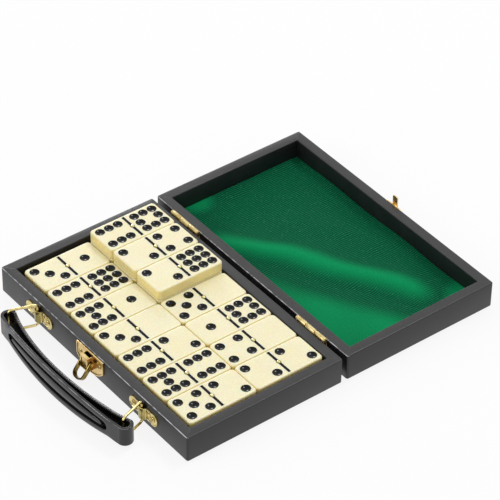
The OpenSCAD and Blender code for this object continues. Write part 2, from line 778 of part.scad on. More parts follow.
// A tile with its pips and dividing line cut in
module cut_tile(halves) {
  difference() {
    blank_tile();
    at_pips(halves) pip_hollow();
    translate([-line_l / 2, -line_w / 2, tile_t - line_deep]) cube([line_l, line_w, 2 * line_deep]);
    translate([0, 0, tile_t - pin_deep]) cylinder(h = 2 * pin_deep, r = tile_pin_r);
  }
}

function layer_of(column, row) = column == 1 && row < raised ? 2 : 1;
function halves_of(column, row) = column == 0 ? front_tiles[row] : back_tiles[row];

module shown_tile(column, row) {
  color(ivory) at_tile(column, row, layer_of(column, row)) cut_tile(halves_of(column, row));
}

module tile_3_1() { shown_tile(0, 0); }
module tile_6_9() { shown_tile(0, 1); }
module tile_7_1() { shown_tile(0, 2); }
module tile_3_0() { shown_tile(0, 3); }
module tile_6_2() { shown_tile(0, 4); }
module tile_7_6() { shown_tile(0, 5); }
module tile_5_2() { shown_tile(0, 6); }
module tile_6_8() { shown_tile(1, 0); }
module tile_2_4() { shown_tile(1, 1); }
module tile_2_9() { shown_tile(1, 2); }
module tile_5_0() { shown_tile(1, 3); }
module tile_1_8() { shown_tile(1, 4); }
module tile_4_0() { shown_tile(1, 5); }
module tile_2_2() { shown_tile(1, 6); }

module tiles_under_front() { color(ivory) for (row = [0 : rows - 1]) at_tile(0, row, 0) blank_tile(); }
module tiles_under_back() { color(ivory) for (row = [0 : rows - 1]) at_tile(1, row, 0) blank_tile(); }
module tiles_under_raised() { color(ivory) for (row = [0 : raised - 1]) at_tile(1, row, 1) blank_tile(); }

// The black filling of the pips: a thin cup in each hollow
module tile_pips() {
  color(black) for (column = [0, 1], row = [0 : rows - 1])
    at_tile(column, row, layer_of(column, row)) at_pips(halves_of(column, row)) difference() {
      intersection() {
        pip_hollow();
        translate([0, 0, -2 * pip_deep]) cylinder(h = 2 * pip_deep, r = 2 * pip_r);
      }
      translate([0, 0, pip_film]) pip_hollow();
    }
}

// The domed brass pins in the dividing lines
module tile_pins() {
  ball = (tile_pin_r * tile_pin_r + pin_dome * pin_dome) / (2 * pin_dome);
  color(brass) for (column = [0, 1], row = [0 : rows - 1])
    at_tile(column, row, layer_of(column, row)) translate([0, 0, tile_t]) {
      translate([0, 0, -pin_deep]) cylinder(h = pin_deep, r = tile_pin_r);
      intersection() {
        translate([0, 0, pin_dome - ball]) sphere(ball);
        cylinder(h = pin_deep, r = tile_pin_r);
      }
    }
}

tray_wall_front();
tray_wall_back();
tray_wall_left();
tray_wall_right();
tray_floor();
tray_covering();
tray_lining();
lid_wall_front();
lid_wall_back();
lid_wall_left();
lid_wall_right();
lid_panel();
lid_covering();
lid_lining();
hinge_left_tray_leaf();
hinge_left_lid_leaf();
hinge_left_pin();
hinge_right_tray_leaf();
hinge_right_lid_leaf();
hinge_right_pin();
hinge_tray_screws();
hinge_lid_screws();
latch_plate();
latch_housing();
latch_pin();
latch_ring();
latch_screws();
keeper_plate();
keeper_screws();
bracket_left();
bracket_right();
bracket_left_screws();
bracket_right_screws();
ring_left();
ring_right();
handle_outer();
handle_inner();
handle_core();
tile_3_1();
tile_6_9();
tile_7_1();
tile_3_0();
tile_6_2();
tile_7_6();
tile_5_2();
tile_6_8();
tile_2_4();
tile_2_9();
tile_5_0();
tile_1_8();
tile_4_0();
tile_2_2();
tiles_under_front();
tiles_under_back();
tiles_under_raised();
tile_pips();
tile_pins();
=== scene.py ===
import math
import bmesh
import bpy
from mathutils import Matrix, Vector


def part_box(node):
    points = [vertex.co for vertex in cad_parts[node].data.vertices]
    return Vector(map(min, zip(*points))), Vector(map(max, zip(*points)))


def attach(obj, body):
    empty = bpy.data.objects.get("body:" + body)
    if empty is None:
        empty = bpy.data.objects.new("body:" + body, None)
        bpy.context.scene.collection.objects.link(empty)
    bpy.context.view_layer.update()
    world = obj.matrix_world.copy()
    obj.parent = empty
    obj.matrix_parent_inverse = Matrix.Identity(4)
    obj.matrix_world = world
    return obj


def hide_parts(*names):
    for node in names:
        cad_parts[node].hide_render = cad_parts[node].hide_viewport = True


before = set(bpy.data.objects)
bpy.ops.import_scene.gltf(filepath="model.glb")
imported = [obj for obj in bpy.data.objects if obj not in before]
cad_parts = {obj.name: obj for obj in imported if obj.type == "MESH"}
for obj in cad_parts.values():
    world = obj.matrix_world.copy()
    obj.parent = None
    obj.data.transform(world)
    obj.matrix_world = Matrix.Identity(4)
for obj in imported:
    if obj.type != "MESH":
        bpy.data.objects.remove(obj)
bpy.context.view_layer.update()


# The studio. The case lies on white paper under soft lamps, with the main one on its left.
# A long lens looks down from the right, in front of the case.
def linear(hex_colour):
    """An sRGB hex colour as the linear colour that nodes take."""
    parts = [int(hex_colour[i:i + 2], 16) / 255 for i in (1, 3, 5)]
    return tuple(c / 12.92 if c <= 0.04045 else ((c + 0.055) / 1.055) ** 2.4 for c in parts) + (1.0,)


def add_node(material, kind, settings=()):
    """Adds a node to a material or world. Each setting is a value, or the socket that feeds it."""
    node = material.node_tree.nodes.new(kind)
    for key, value in dict(settings).items():
        if isinstance(value, bpy.types.NodeSocket):
            material.node_tree.links.new(value, node.inputs[key])
        elif isinstance(key, int) or key in node.inputs:
            node.inputs[key].default_value = value
        else:
            setattr(node, key, value)
    return node


def empty_material(name):
    """A new material with no nodes."""
    material = bpy.data.materials.new(name)
    material.use_nodes = True
    material.node_tree.nodes.clear()
    return material


def reckon(material, operation, first, second=0.0):
    """A sum, a product or the like of sockets and numbers."""
    return add_node(material, "ShaderNodeMath", {"operation": operation, 0: first, 1: second}).outputs[0]


def seen_directly(material):
    """1 for rays from the camera, off a glossy face or through glass, and 0 for all others."""
    ray = add_node(material, "ShaderNodeLightPath").outputs
    off_gloss = reckon(material, "MAXIMUM", ray["Is Camera Ray"], ray["Is Glossy Ray"])
    return reckon(material, "MAXIMUM", off_gloss, ray["Is Transmission Ray"])


camera_data = bpy.data.cameras.new("camera")
camera_data.sensor_width = 36
camera_data.lens = 203.3
camera_data.clip_end = 20
camera = bpy.data.objects.new("camera", camera_data)
bpy.context.scene.collection.objects.link(camera)
camera.location = (1.02821, -0.79307, 1.10802)
camera.rotation_euler = (0.88440, -0.01328, 0.91499)
bpy.context.scene.camera = camera
bpy.context.scene.view_settings.view_transform = "Standard"

bpy.ops.mesh.primitive_plane_add(size=9, location=(0, 0, -0.0002))
floor = bpy.context.object
floor.name = "paper_floor"

# White paper: matt, and lifted to white where the camera or a reflection sees it, with the shadow kept.
paper = empty_material("white_paper")
lift = reckon(paper, "MULTIPLY", seen_directly(paper), 0.85)
matt = add_node(paper, "ShaderNodeBsdfDiffuse", {"Color": linear("#F2F2F1")})
white = add_node(paper, "ShaderNodeEmission", {"Color": (1, 1, 1, 1), "Strength": 1.0})
paper_mix = add_node(paper, "ShaderNodeMixShader", {0: lift, 1: matt.outputs[0], 2: white.outputs[0]})
add_node(paper, "ShaderNodeOutputMaterial", {"Surface": paper_mix.outputs[0]})
floor.data.materials.append(paper)

world = bpy.data.worlds.new("white_room")
world.use_nodes = True
world.node_tree.nodes.clear()
bpy.context.scene.world = world
room_light = add_node(world, "ShaderNodeBackground", {"Color": linear("#FBFBFF"), "Strength": 0.70})
room_white = add_node(world, "ShaderNodeBackground", {"Color": (1, 1, 1, 1), "Strength": 1.0})
room_mix = add_node(world, "ShaderNodeMixShader",
                    {0: seen_directly(world), 1: room_light.outputs[0], 2: room_white.outputs[0]})
add_node(world, "ShaderNodeOutputWorld", {"Surface": room_mix.outputs[0]})

for lamp_name, place, width, watts in (
    ("top_box", (-0.05, 0.95, 1.85), 0.45, 11.0),
    ("left_box", (-1.50, 0.77, 0.62), 0.35, 4.5),
    ("front_box", (-0.50, -1.60, 0.95), 0.6, 7.0),
):
    lamp_data = bpy.data.lights.new(lamp_name, "AREA")
    lamp_data.size = width
    lamp_data.energy = watts
    lamp = bpy.data.objects.new(lamp_name, lamp_data)
    bpy.context.scene.collection.objects.link(lamp)
    lamp.location = place
    lamp.rotation_euler = (Vector((0, 0, 0.01)) - Vector(place)).to_track_quat("-Z", "Y").to_euler()


# The two shells. Each is a shallow box of board, wrapped in thin black leatherette that runs over the rim
# and down inside, glued, with a mitred fold at every corner of the rim. Leatherette is PVC on cloth,
# pressed with a fine grain, half matt. A bright line is painted along the rounded front edge of the rim, a
# painted highlight.
MM = 0.001
WALL = 6.9 * MM


def object_mode():
    """Leaves edit mode, if a piece is open for editing."""
    if bpy.context.mode != "OBJECT":
        bpy.ops.object.mode_set(mode="OBJECT")


def choose(piece):
    """Makes a piece the active and only selected one."""
    object_mode()
    bpy.ops.object.select_all(action="DESELECT")
    piece.select_set(True)
    bpy.context.view_layer.objects.active = piece


def start_edit(piece):
    """Opens a piece for editing, with nothing else selected."""
    choose(piece)
    bpy.ops.object.mode_set(mode="EDIT")
    bpy.ops.mesh.select_mode(type="EDGE")


def pick(kind, test):
    """Selects the faces or edges that pass a test, on the mesh that is being edited."""
    bpy.ops.mesh.select_mode(type=kind)
    bpy.ops.mesh.select_all(action="DESELECT")
    mesh = bmesh.from_edit_mesh(bpy.context.edit_object.data)
    for part in mesh.faces if kind == "FACE" else mesh.edges:
        if test(part):
            part.select_set(True)
    mesh.select_flush_mode()
    bmesh.update_edit_mesh(bpy.context.edit_object.data)


def pick_all():
    """Selects all of the mesh that is being edited."""
    bpy.ops.mesh.select_all(action="SELECT")


def bevel(width, segments, affect="EDGES"):
    """Rounds the edges or corners that are selected."""
    bpy.ops.mesh.bevel(offset=width, segments=segments, affect=affect, clamp_overlap=True)


def extrude(x, y, z):
    """Draws the selected part out along (x, y, z)."""
    bpy.ops.mesh.extrude_region_move(TRANSFORM_OT_translate={"value": (x, y, z)})


def settle():
    """Moves a new object's place, turn and size into its mesh."""
    bpy.ops.object.transform_apply(location=True, rotation=True, scale=True)


def block(name, low, high):
    """A box between two corners, at the origin with its place in its mesh, open for editing."""
    middle = [(a + b) / 2 for a, b in zip(low, high)]
    bpy.ops.mesh.primitive_cube_add(size=1, location=middle)
    piece = bpy.context.object
    piece.name = name
    piece.scale = [b - a for a, b in zip(low, high)]
    settle()
    start_edit(piece)
    return piece


def close_edit(piece, material, angle=35):
    """Leaves edit mode, smooths the piece and gives it its material."""
    choose(piece)
    bpy.ops.object.shade_smooth_by_angle(angle=math.radians(angle))
    piece.data.materials.clear()
    piece.data.materials.append(material)


def give(name, material):
    """Gives a CAD node a material."""
    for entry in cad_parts[name].material_slots:
        entry.material = material


def object_place(material):
    """The place on a piece, in metres, for a texture."""
    return add_node(material, "ShaderNodeTexCoord").outputs["Object"]


def noise(material, place, across, detail):
    """Cloudy noise from 0 to 1, with spots about as wide as across."""
    return add_node(material, "ShaderNodeTexNoise",
                    {"Scale": 1 / across, "Detail": detail, "Vector": place}).outputs[0]


def remap(material, value, low, high, new_low=0.0, new_high=1.0):
    """A value taken from one range to another, and kept inside it."""
    return add_node(material, "ShaderNodeMapRange", {"Value": value, "From Min": low, "From Max": high,
                                                     "To Min": new_low, "To Max": new_high}).outputs[0]


def blend(material, share, first, second):
    """A colour between two, each of them an sRGB hex colour or a socket."""
    ends = [linear(colour) if isinstance(colour, str) else colour for colour in (first, second)]
    return add_node(material, "ShaderNodeMix", {"data_type": "RGBA", "Factor": share, "A": ends[0],
                                                "B": ends[1]}).outputs["Result"]


def bump(material, height, strength, depth):
    """Fine relief from a height, drawn as deep as depth."""
    return add_node(material, "ShaderNodeBump",
                    {"Strength": strength, "Distance": depth, "Height": height}).outputs[0]


def surface(material, settings):
    """Ends a material in one surface with these settings."""
    face = add_node(material, "ShaderNodeBsdfPrincipled", settings)
    add_node(material, "ShaderNodeOutputMaterial", {"Surface": face.outputs[0]})


def leatherette(name, middle_y, half_x, half_y):
    """Pressed black leatherette, with mitred folds at the corners of a rim."""
    skin = empty_material(name)
    place = object_place(skin)
    # Grain of 0.9 mm, drawn a little coarser than the real 0.5 mm so that it shows
    grain = add_node(skin, "ShaderNodeTexVoronoi",
                     {"feature": "SMOOTH_F1", "Scale": 1 / (0.9 * MM), "Vector": place}).outputs["Distance"]
    # Long soft unevenness where the glue lies thicker, about 12 mm across
    patch = noise(skin, place, 12 * MM, 4.0)
    axes = add_node(skin, "ShaderNodeSeparateXYZ", {0: place}).outputs
    past_end = reckon(skin, "SUBTRACT", reckon(skin, "ABSOLUTE", axes["X"]), half_x)
    across = reckon(skin, "ABSOLUTE", reckon(skin, "SUBTRACT", axes["Y"], middle_y))
    past_side = reckon(skin, "SUBTRACT", across, half_y)
    off_fold = reckon(skin, "ABSOLUTE", reckon(skin, "SUBTRACT", past_end, past_side))
    # The fold line is 0.5 mm wide
    fold = add_node(skin, "ShaderNodeMapRange",
                    {"interpolation_type": "SMOOTHSTEP", "Value": off_fold, "From Min": 0.0,
                     "From Max": 0.5 * MM, "To Min": 1.0, "To Max": 0.0}).outputs[0]
    relief = reckon(skin, "ADD", grain, reckon(skin, "MULTIPLY", fold, -3.0))
    surface(skin, {"IOR": 1.52, "Base Color": blend(skin, remap(skin, patch, 0.3, 0.7), "#121214", "#171719"),
                   "Roughness": remap(skin, patch, 0.3, 0.7, 0.34, 0.41),
                   "Normal": bump(skin, relief, 0.30, 0.05 * MM)})
    return skin


# A painted highlight for the front edge of the leatherette: light grey colour on black
painted_edge_highlight = empty_material("leatherette_painted_edge_highlight")
# Breaks about 3 mm long in the painted highlight
highlight_breaks = remap(painted_edge_highlight, noise(painted_edge_highlight, object_place(painted_edge_highlight), 3 * MM, 3.0), 0.35, 0.6)
surface(painted_edge_highlight, {"IOR": 1.52, "Roughness": 0.2,
                    "Base Color": blend(painted_edge_highlight, highlight_breaks, "#58585A", "#BEBEC0")})

for shell in ("tray", "lid"):
    low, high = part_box(shell + "_covering")
    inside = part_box(shell + "_lining")[0][2]
    piece = block(shell + "_leatherette", low, high)
    pick("FACE", lambda f: f.normal.z > 0.9)
    bpy.ops.mesh.inset(thickness=WALL)
    extrude(0, 0, inside - 0.05 * MM - high[2])
    outer_x = (high[0] - low[0]) / 2 - 0.1 * MM
    pick("EDGE", lambda e: abs(e.verts[0].co.z - e.verts[1].co.z) > 0.01
         and abs(e.verts[0].co.x) > outer_x)
    bevel(1.5 * MM, 5)
    pick("EDGE", lambda e: len(e.link_faces) == 2 and abs(e.verts[0].co.z - e.verts[1].co.z) < 1e-6
         and e.calc_face_angle() > 1.2
         and (e.verts[0].co.z > high[2] - 1e-5 or e.verts[0].co.z < low[2] + 1e-5))
    bevel(0.7 * MM, 4)
    material = leatherette(shell + "_pressed_black_leatherette", (low[1] + high[1]) / 2,
                           (high[0] - low[0]) / 2, (high[1] - low[1]) / 2)
    close_edit(piece, material)
    # A painted highlight: the rounded faces along the front edge of the rim are painted light grey
    piece.data.materials.append(painted_edge_highlight)
    for face in piece.data.polygons:
        outer_edge = min(face.center.x - low[0], high[0] - face.center.x, face.center.y - low[1],
                         high[1] - face.center.y) < 0.5 * MM
        rounded = face.center.z > high[2] - 0.65 * MM and 0.3 < face.normal.z < 0.9
        if outer_edge and rounded and face.normal.y < -0.2:
            face.material_index = 1
    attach(piece, shell)
    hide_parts(shell + "_covering")


# The boards inside the walls: grey bookbinder's board, sawn and butted, hidden by the leatherette.
# It is matt and speckled with fibres about 0.4 mm long.
board = empty_material("grey_bookbinders_board")
fibres = noise(board, object_place(board), 0.4 * MM, 3.0)
surface(board, {"Roughness": 0.9, "IOR": 1.45, "Base Color": blend(board, fibres, "#8F8676", "#A79D8B"),
                "Normal": bump(board, fibres, 0.3, 0.05 * MM)})
for name in ("tray_wall_front", "tray_wall_back", "tray_wall_left", "tray_wall_right", "tray_floor",
             "lid_wall_front", "lid_wall_back", "lid_wall_left", "lid_wall_right", "lid_panel"):
    give(name, board)


# The green cloth: a thin ribbed rayon, glued flat in the tray. In the lid it is cut a little large and laid
# in loose, so that one long soft fold runs slantwise across it and its edges ride up the walls.
# Rayon has a soft sheen, and its ribs run from hinge to handle side.
def green_rayon(name, sheen_from_mesh):
    """Green ribbed rayon lining cloth. For the lid it takes painted light from the mesh: lighter where the
    fold faces the lamps, darker elsewhere as painted shade.
    """
    cloth = empty_material(name)
    place = object_place(cloth)
    # Ribs every 1.5 mm, that run from the hinges to the far side, a little wavy
    axes = add_node(cloth, "ShaderNodeSeparateXYZ", {0: place}).outputs
    sway = reckon(cloth, "MULTIPLY", noise(cloth, place, 14 * MM, 1.0), 3.0 * MM)
    turns = reckon(cloth, "MULTIPLY", reckon(cloth, "ADD", axes["X"], sway), 2 * math.pi / (1.5 * MM))
    rib_tone = remap(cloth, reckon(cloth, "SINE", turns), -0.6, 1.0)
    # Painted glints: bright specks about 1 mm long on the crown of a rib, a painted highlight
    stretch = add_node(cloth, "ShaderNodeMapping",
                       {"Scale": (1 / (0.6 * MM), 1 / (1.3 * MM), 1), "Vector": place}).outputs[0]
    glints = reckon(cloth, "MULTIPLY", remap(cloth, noise(cloth, stretch, 1.0, 1.0), 0.60, 0.80), rib_tone)
    # The colour is painted darker in the valleys between the ribs and lighter on their crowns, a painted
    # shade, with the painted glints on top
    ribbed = blend(cloth, glints, blend(cloth, rib_tone, "#033A23", "#0A6A47"), "#4F9C78")
    # A smooth lighter green with a fuzz 0.8 mm across. In the lid it is laid where the mesh marks lit cloth,
    # as painted light; in the tray it lies in random patches 60 mm across.
    fuzz = noise(cloth, place, 0.8 * MM, 2.0)
    smooth = blend(cloth, fuzz, "#087C49", "#0B9A5E")
    if sheen_from_mesh:
        tone_and_sheen = add_node(cloth, "ShaderNodeAttribute", {"attribute_name": "painted_sheen"}).outputs["Fac"]
    else:
        tone_and_sheen = remap(cloth, noise(cloth, place, 60 * MM, 1.0), 0.4, 0.65)
    relief = bump(cloth, reckon(cloth, "ADD", rib_tone, fuzz), 0.45, 0.15 * MM)
    surface(cloth, {"Roughness": 0.8, "IOR": 1.5, "Specular IOR Level": 0.05, "Sheen Weight": 0.02,
                    "Sheen Roughness": 0.4, "Sheen Tint": linear("#3FD08A"),
                    "Base Color": blend(cloth, tone_and_sheen, ribbed, smooth), "Normal": relief})
    return cloth


give("tray_lining", green_rayon("green_ribbed_rayon", False))

cloth_low, cloth_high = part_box("lid_lining")
cloth_w, cloth_l = cloth_high[0] - cloth_low[0] + 0.3 * MM, cloth_high[1] - cloth_low[1] + 0.3 * MM
bpy.ops.mesh.primitive_grid_add(x_subdivisions=170, y_subdivisions=100, size=1, location=(0, 0, 0))
cloth = bpy.context.object
cloth.name = "lid_cloth"
cloth_mid = ((cloth_low[0] + cloth_high[0]) / 2, (cloth_low[1] + cloth_high[1]) / 2)
cloth.scale = (cloth_w, cloth_l, 1)
cloth.location = (cloth_mid[0], cloth_mid[1], cloth_low[2] + 0.15 * MM)
settle()


def step(low, high, value):
    """0 at low and before it, 1 at high and past it, and smooth between them."""
    t = min(max((value - low) / (high - low), 0), 1)
    return t * t * (3 - 2 * t)


# The crest of the main fold and the valley in front of it, in mm. They run from the hinge side out to the
# right end, and lie where the photo shows them.
crest = [(-62, 26), (-44, 36), (-26, 46), (-12, 57), (2, 66), (19, 75), (39, 86), (58, 98), (74, 108)]
valley = [(-40, 25), (-21, 37), (-3, 46), (14, 53), (41, 69), (72, 88), (84, 97)]


def beside(line, x, y):
    """How far (x, y) is to the far side of a line of points, in mm, and how far along it as a share."""
    best = (1e9, 0, 0)
    for i in range(len(line) - 1):
        a, b = Vector(line[i]), Vector(line[i + 1])
        run = b - a
        t = min(max((Vector((x, y)) - a).dot(run) / run.dot(run), 0), 1)
        off = Vector((x, y)) - (a + run * t)
        if off.length < best[0]:
            side = 1 if run.x * off.y - run.y * off.x > 0 else -1
            best = (off.length, side, (i + t) / (len(line) - 1))
    return best[0] * best[1], best[2]


def thicken(piece, thickness, offset, even=False):
    """Gives the active piece, a bare sheet, its thickness."""
    wall = piece.modifiers.new("wall", "SOLIDIFY")
    wall.thickness, wall.offset, wall.use_even_offset = thickness, offset, even
    bpy.ops.object.modifier_apply(modifier="wall")


# Painted light for the lid cloth, kept on the mesh: 1 where the cloth is painted lit, down to 0.06 where it
# is left in painted shade
painted_sheen = cloth.data.attributes.new("painted_sheen", "FLOAT", "POINT")
for point in cloth.data.vertices:
    x, y = point.co.x / MM, point.co.y / MM
    up, share = beside(crest, x, y)
    low_off, low_share = beside(valley, x, y)
    up += 1.2 * math.sin(x / 9)
    fade = step(0.0, 0.25, share) * (1 - step(0.82, 1.0, share))
    main = (math.exp(-(up / 13) ** 2) if up > 0 else math.exp(-(up / 8) ** 2)) * fade
    front = step(-4, -24, low_off) if low_off < 0 else 0
    dip = math.exp(-(low_off / 6) ** 2) * step(0.05, 0.3, low_share) * (1 - step(0.9, 1.0, low_share))
    far_fold = math.exp(-((up - 34) / 11) ** 2) * step(0.2, 0.6, share)
    ripple = 0.12 * math.sin(x / 8.5 + y / 30) * math.sin(y / 7.0 + 1)
    edge_x = step(0.80, 1.0, abs(point.co.x - cloth_mid[0]) / (cloth_w / 2))
    edge_y = step(0.76, 1.0, abs(point.co.y - cloth_mid[1]) / (cloth_l / 2))
    edge = max(edge_x, edge_y)
    rise = 4.0 * main + 1.6 * far_fold + 0.9 * front - 0.6 * dip + ripple + 0.7
    point.co.z += (max(rise, 0) * (1 - 0.75 * edge) + 2.0 * edge ** 2 * (1 + 0.25 * math.sin(x / 11))) * MM
    # The painted light: a bright band on the lit slope of the crest, the lit ground in front of the valley
    # and two lit corners
    band = math.exp(-((up + 1.5) / 7.0) ** 2) * step(-0.02, 0.12, share) * (1 - step(0.86, 1.0, share))
    lit_front = front * (0.9 + 0.1 * math.sin(x / 13 + y / 8))
    lit_corners = step(22, 6, math.hypot(x - 84, y - 122)) * 0.9 + step(16, 4, math.hypot(x + 90, y - 42)) * 0.9
    painted_sheen.data[point.index].value = min(max(band, lit_front, lit_corners, 0.06), 1.0)
thicken(cloth, 0.45 * MM, 1)
close_edit(cloth, green_rayon("green_rayon_painted_sheen", True), 60)
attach(cloth, "lid")
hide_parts("lid_lining")


# The two hinges: stamped brass leaves rolled into knuckles round a wire pin, screwed to the shells' backs.
# Only the knuckles show from above. Brass plate is thin here and wears paler on the round of the knuckles.
def plated_brass(name, light, dark, roughness, wear_mm):
    """Polished brass plating with faint draw lines and slight tarnish."""
    metal = empty_material(name)
    place = object_place(metal)
    tarnish = remap(metal, noise(metal, place, wear_mm * MM, 3.0), 0.35, 0.7)
    # Polishing marks, drawn 1.2 mm long so that they show; the real ones are under 0.3 mm
    marks = noise(metal, place, 1.2 * MM, 1.0)
    surface(metal, {"Metallic": 1.0, "Base Color": blend(metal, tarnish, light, dark),
                    "Roughness": remap(metal, marks, 0.0, 1.0, roughness * 0.8, roughness * 1.3)})
    return metal


hinge_brass = plated_brass("dull_brass_plate", "#DCCB96", "#BBA468", 0.36, 4.0)
pale_brass = plated_brass("pale_brass_plate", "#E8D89E", "#BFA862", 0.20, 3.0)


def tube(name, start, end, radius, segments=32):
    """A round bar between two points, at the origin, with its place in its mesh."""
    a, b = Vector(start), Vector(end)
    turn = (b - a).to_track_quat("Z", "Y").to_euler()
    bpy.ops.mesh.primitive_cylinder_add(vertices=segments, radius=radius, depth=(b - a).length,
                                        location=(a + b) / 2, rotation=turn)
    bpy.context.object.name = name
    settle()
    return bpy.context.object


def join(name, pieces):
    """Joins pieces into one."""
    choose(pieces[0])
    for one in pieces:
        one.select_set(True)
    bpy.ops.object.join()
    pieces[0].name = name
    return pieces[0]


def round_edges(width, segments=2, least=1.0):
    """Rounds every sharp edge of the mesh that is being edited."""
    pick("EDGE", lambda e: len(e.link_faces) == 2 and e.calc_face_angle() > least)
    bevel(width, segments)


LEAF_HALF, KNUCKLE_R, MID_KNUCKLE, SLIT = 13 * MM, 1.55 * MM, 4.2 * MM, 0.25 * MM
for side in ("left", "right"):
    for leaf, body, knuckle_at in (("tray_leaf", "tray", (0,)), ("lid_leaf", "lid", (-1, 1))):
        low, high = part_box(f"hinge_{side}_{leaf}")
        pin_low, pin_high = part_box(f"hinge_{side}_pin")
        axis_y, axis_z = (pin_low[1] + pin_high[1]) / 2, (pin_low[2] + pin_high[2]) / 2
        mid_x = (pin_low[0] + pin_high[0]) / 2
        face = (low[1], low[1] + 0.7 * MM) if body == "tray" else (high[1] - 0.7 * MM, high[1])
        parts = [block("leaf_sheet", (mid_x - LEAF_HALF, face[0], low[2]),
                       (mid_x + LEAF_HALF, face[1], axis_z - KNUCKLE_R - SLIT))]
        round_edges(0.15 * MM)
        object_mode()
        for at in knuckle_at:
            x0, x1 = mid_x - MID_KNUCKLE, mid_x + MID_KNUCKLE
            if at:
                x0, x1 = mid_x + at * (MID_KNUCKLE + SLIT), mid_x + at * LEAF_HALF
            roll = tube("knuckle", (x0, axis_y, axis_z), (x1, axis_y, axis_z), KNUCKLE_R)
            start_edit(roll)
            round_edges(0.25 * MM)
            object_mode()
            strap = block("strap", (min(x0, x1), face[0], axis_z - 3 * MM),
                          (max(x0, x1), face[1], axis_z + 0.4 * MM))
            round_edges(0.1 * MM)
            object_mode()
            parts += [roll, strap]
        hinge = join(f"hinge_{side}_{leaf}_brass", parts)
        close_edit(hinge, hinge_brass)
        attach(hinge, body)
        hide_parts(f"hinge_{side}_{leaf}")
    give(f"hinge_{side}_pin", hinge_brass)
give("hinge_tray_screws", pale_brass)
give("hinge_lid_screws", pale_brass)


# The small brass screws that hold the latch, the keeper and the brackets: domed heads of pale plated brass,
# turned, with a pressed cross. They are driven by hand, so each stands at its own turn.
def slice_mesh(point, normal, fill=False, clear_outer=False, clear_inner=False):
    """Slices the mesh that is being edited along a plane, and can take one side away."""
    pick_all()
    bpy.ops.mesh.bisect(plane_co=point, plane_no=normal, use_fill=fill, clear_outer=clear_outer,
                        clear_inner=clear_inner, threshold=1e-7)


def cut_away(piece, cutter, crossing=False):
    """Takes a cutter's shape out of a piece. The parts of the cutter may cross each other."""
    cut = piece.modifiers.new("cut", "BOOLEAN")
    cut.operation, cut.solver, cut.use_self, cut.object = "DIFFERENCE", "EXACT", crossing, cutter
    choose(piece)
    bpy.ops.object.modifier_apply(modifier="cut")
    bpy.data.objects.remove(cutter)


def domed_screw(name, node_low, node_high, outward, turn):
    """A domed cross-head screw that fills the box given, looking along outward."""
    flat = [i for i in range(3) if abs(outward[i]) < 0.5]
    up = [i for i in range(3) if abs(outward[i]) > 0.5][0]
    middle = [(a + b) / 2 for a, b in zip(node_low, node_high)]
    radius = (node_high[flat[0]] - node_low[flat[0]]) / 2
    height = node_high[up] - node_low[up]
    bpy.ops.mesh.primitive_uv_sphere_add(segments=28, ring_count=18, radius=1)
    head = bpy.context.object
    head.name = name
    head.scale = (radius, radius, height)
    settle()
    start_edit(head)
    slice_mesh((0, 0, -height * 0.3), (0, 0, 1), fill=True, clear_inner=True)
    object_mode()
    cutters = []
    for extra in (0, math.pi / 2):
        bpy.ops.mesh.primitive_cube_add(size=1, location=(0, 0, height), rotation=(0, 0, turn + extra))
        bpy.context.object.scale = (radius * 1.25, radius * 0.24, height)
        settle()
        cutters.append(bpy.context.object)
    cut_away(head, join("cross", cutters), crossing=True)
    foot = list(middle)
    foot[up] = node_low[up] if outward[up] > 0 else node_high[up]
    face_out = Vector(outward).to_track_quat("Z", "Y").to_matrix().to_4x4()
    head.data.transform(Matrix.Translation(foot) @ face_out)
    return head


# The latch: a stamped plate with a raised edge all round, its lower side an arch, held by two screws. A bent
# box with an open slot on top is fixed to it, and a strip of brass hangs on a pin through the box as a pull.
def press_in(rim, slope, shift):
    """Presses the selected faces in, inside a flat rim and a slope of these widths."""
    bpy.ops.mesh.inset(thickness=rim)
    bpy.ops.mesh.inset(thickness=slope)
    bpy.ops.transform.translate(value=shift)


latch_brass = plated_brass("warm_brass_plate", "#EBD196", "#CDA765", 0.22, 3.5)
dark_brass = plated_brass("dark_brass_strip", "#A08C4C", "#5C4E22", 0.24, 5.0)
side_brass = plated_brass("shaded_warm_brass", "#B98A4C", "#8A6236", 0.30, 2.0)
slot_shade_brass = plated_brass("brass_painted_slot_shade", "#3A2A18", "#1E150C", 0.55, 2.0)
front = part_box("tray_covering")[0][1]
plate_low, plate_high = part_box("latch_plate")
plate_half = (plate_high[0] - plate_low[0]) / 2
arch = 6.4 * MM
arch_r = (plate_half ** 2 + arch ** 2) / (2 * arch)
bpy.ops.mesh.primitive_circle_add(vertices=160, radius=arch_r, fill_type="NGON",
                                  location=(0, front, plate_low[2] + arch_r), rotation=(math.pi / 2, 0, 0))
plate = bpy.context.object
plate.name = "latch_plate_brass"
settle()
start_edit(plate)
slice_mesh((0, 0, plate_low[2] + arch), (0, 0, 1), clear_outer=True)
pick("EDGE", lambda e: all(abs(v.co.z - plate_low[2] - arch) < 1e-5 for v in e.verts))
extrude(0, 0, plate_high[2] - plate_low[2] - arch)
pick_all()
bpy.ops.mesh.dissolve_limited(angle_limit=0.001)
pick_all()
bpy.ops.mesh.normals_make_consistent(inside=False)
pick("FACE", lambda f: True)
extrude(0, plate_low[1] - front, 0)
press_in(0.8 * MM, 0.35 * MM, (0, 0.45 * MM, 0))
pick_all()
bpy.ops.mesh.normals_make_consistent(inside=False)
round_edges(0.15 * MM, least=1.2)
close_edit(plate, latch_brass, 25)
# The sloping wall of the pressed-in panel takes the darker brass, a painted shade in the recess
plate.data.materials.append(dark_brass)
for face in plate.data.polygons:
    if plate_low[1] + 0.1 * MM < face.center.y < plate_low[1] + 0.4 * MM:
        face.material_index = 1
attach(plate, "tray")
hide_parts("latch_plate")

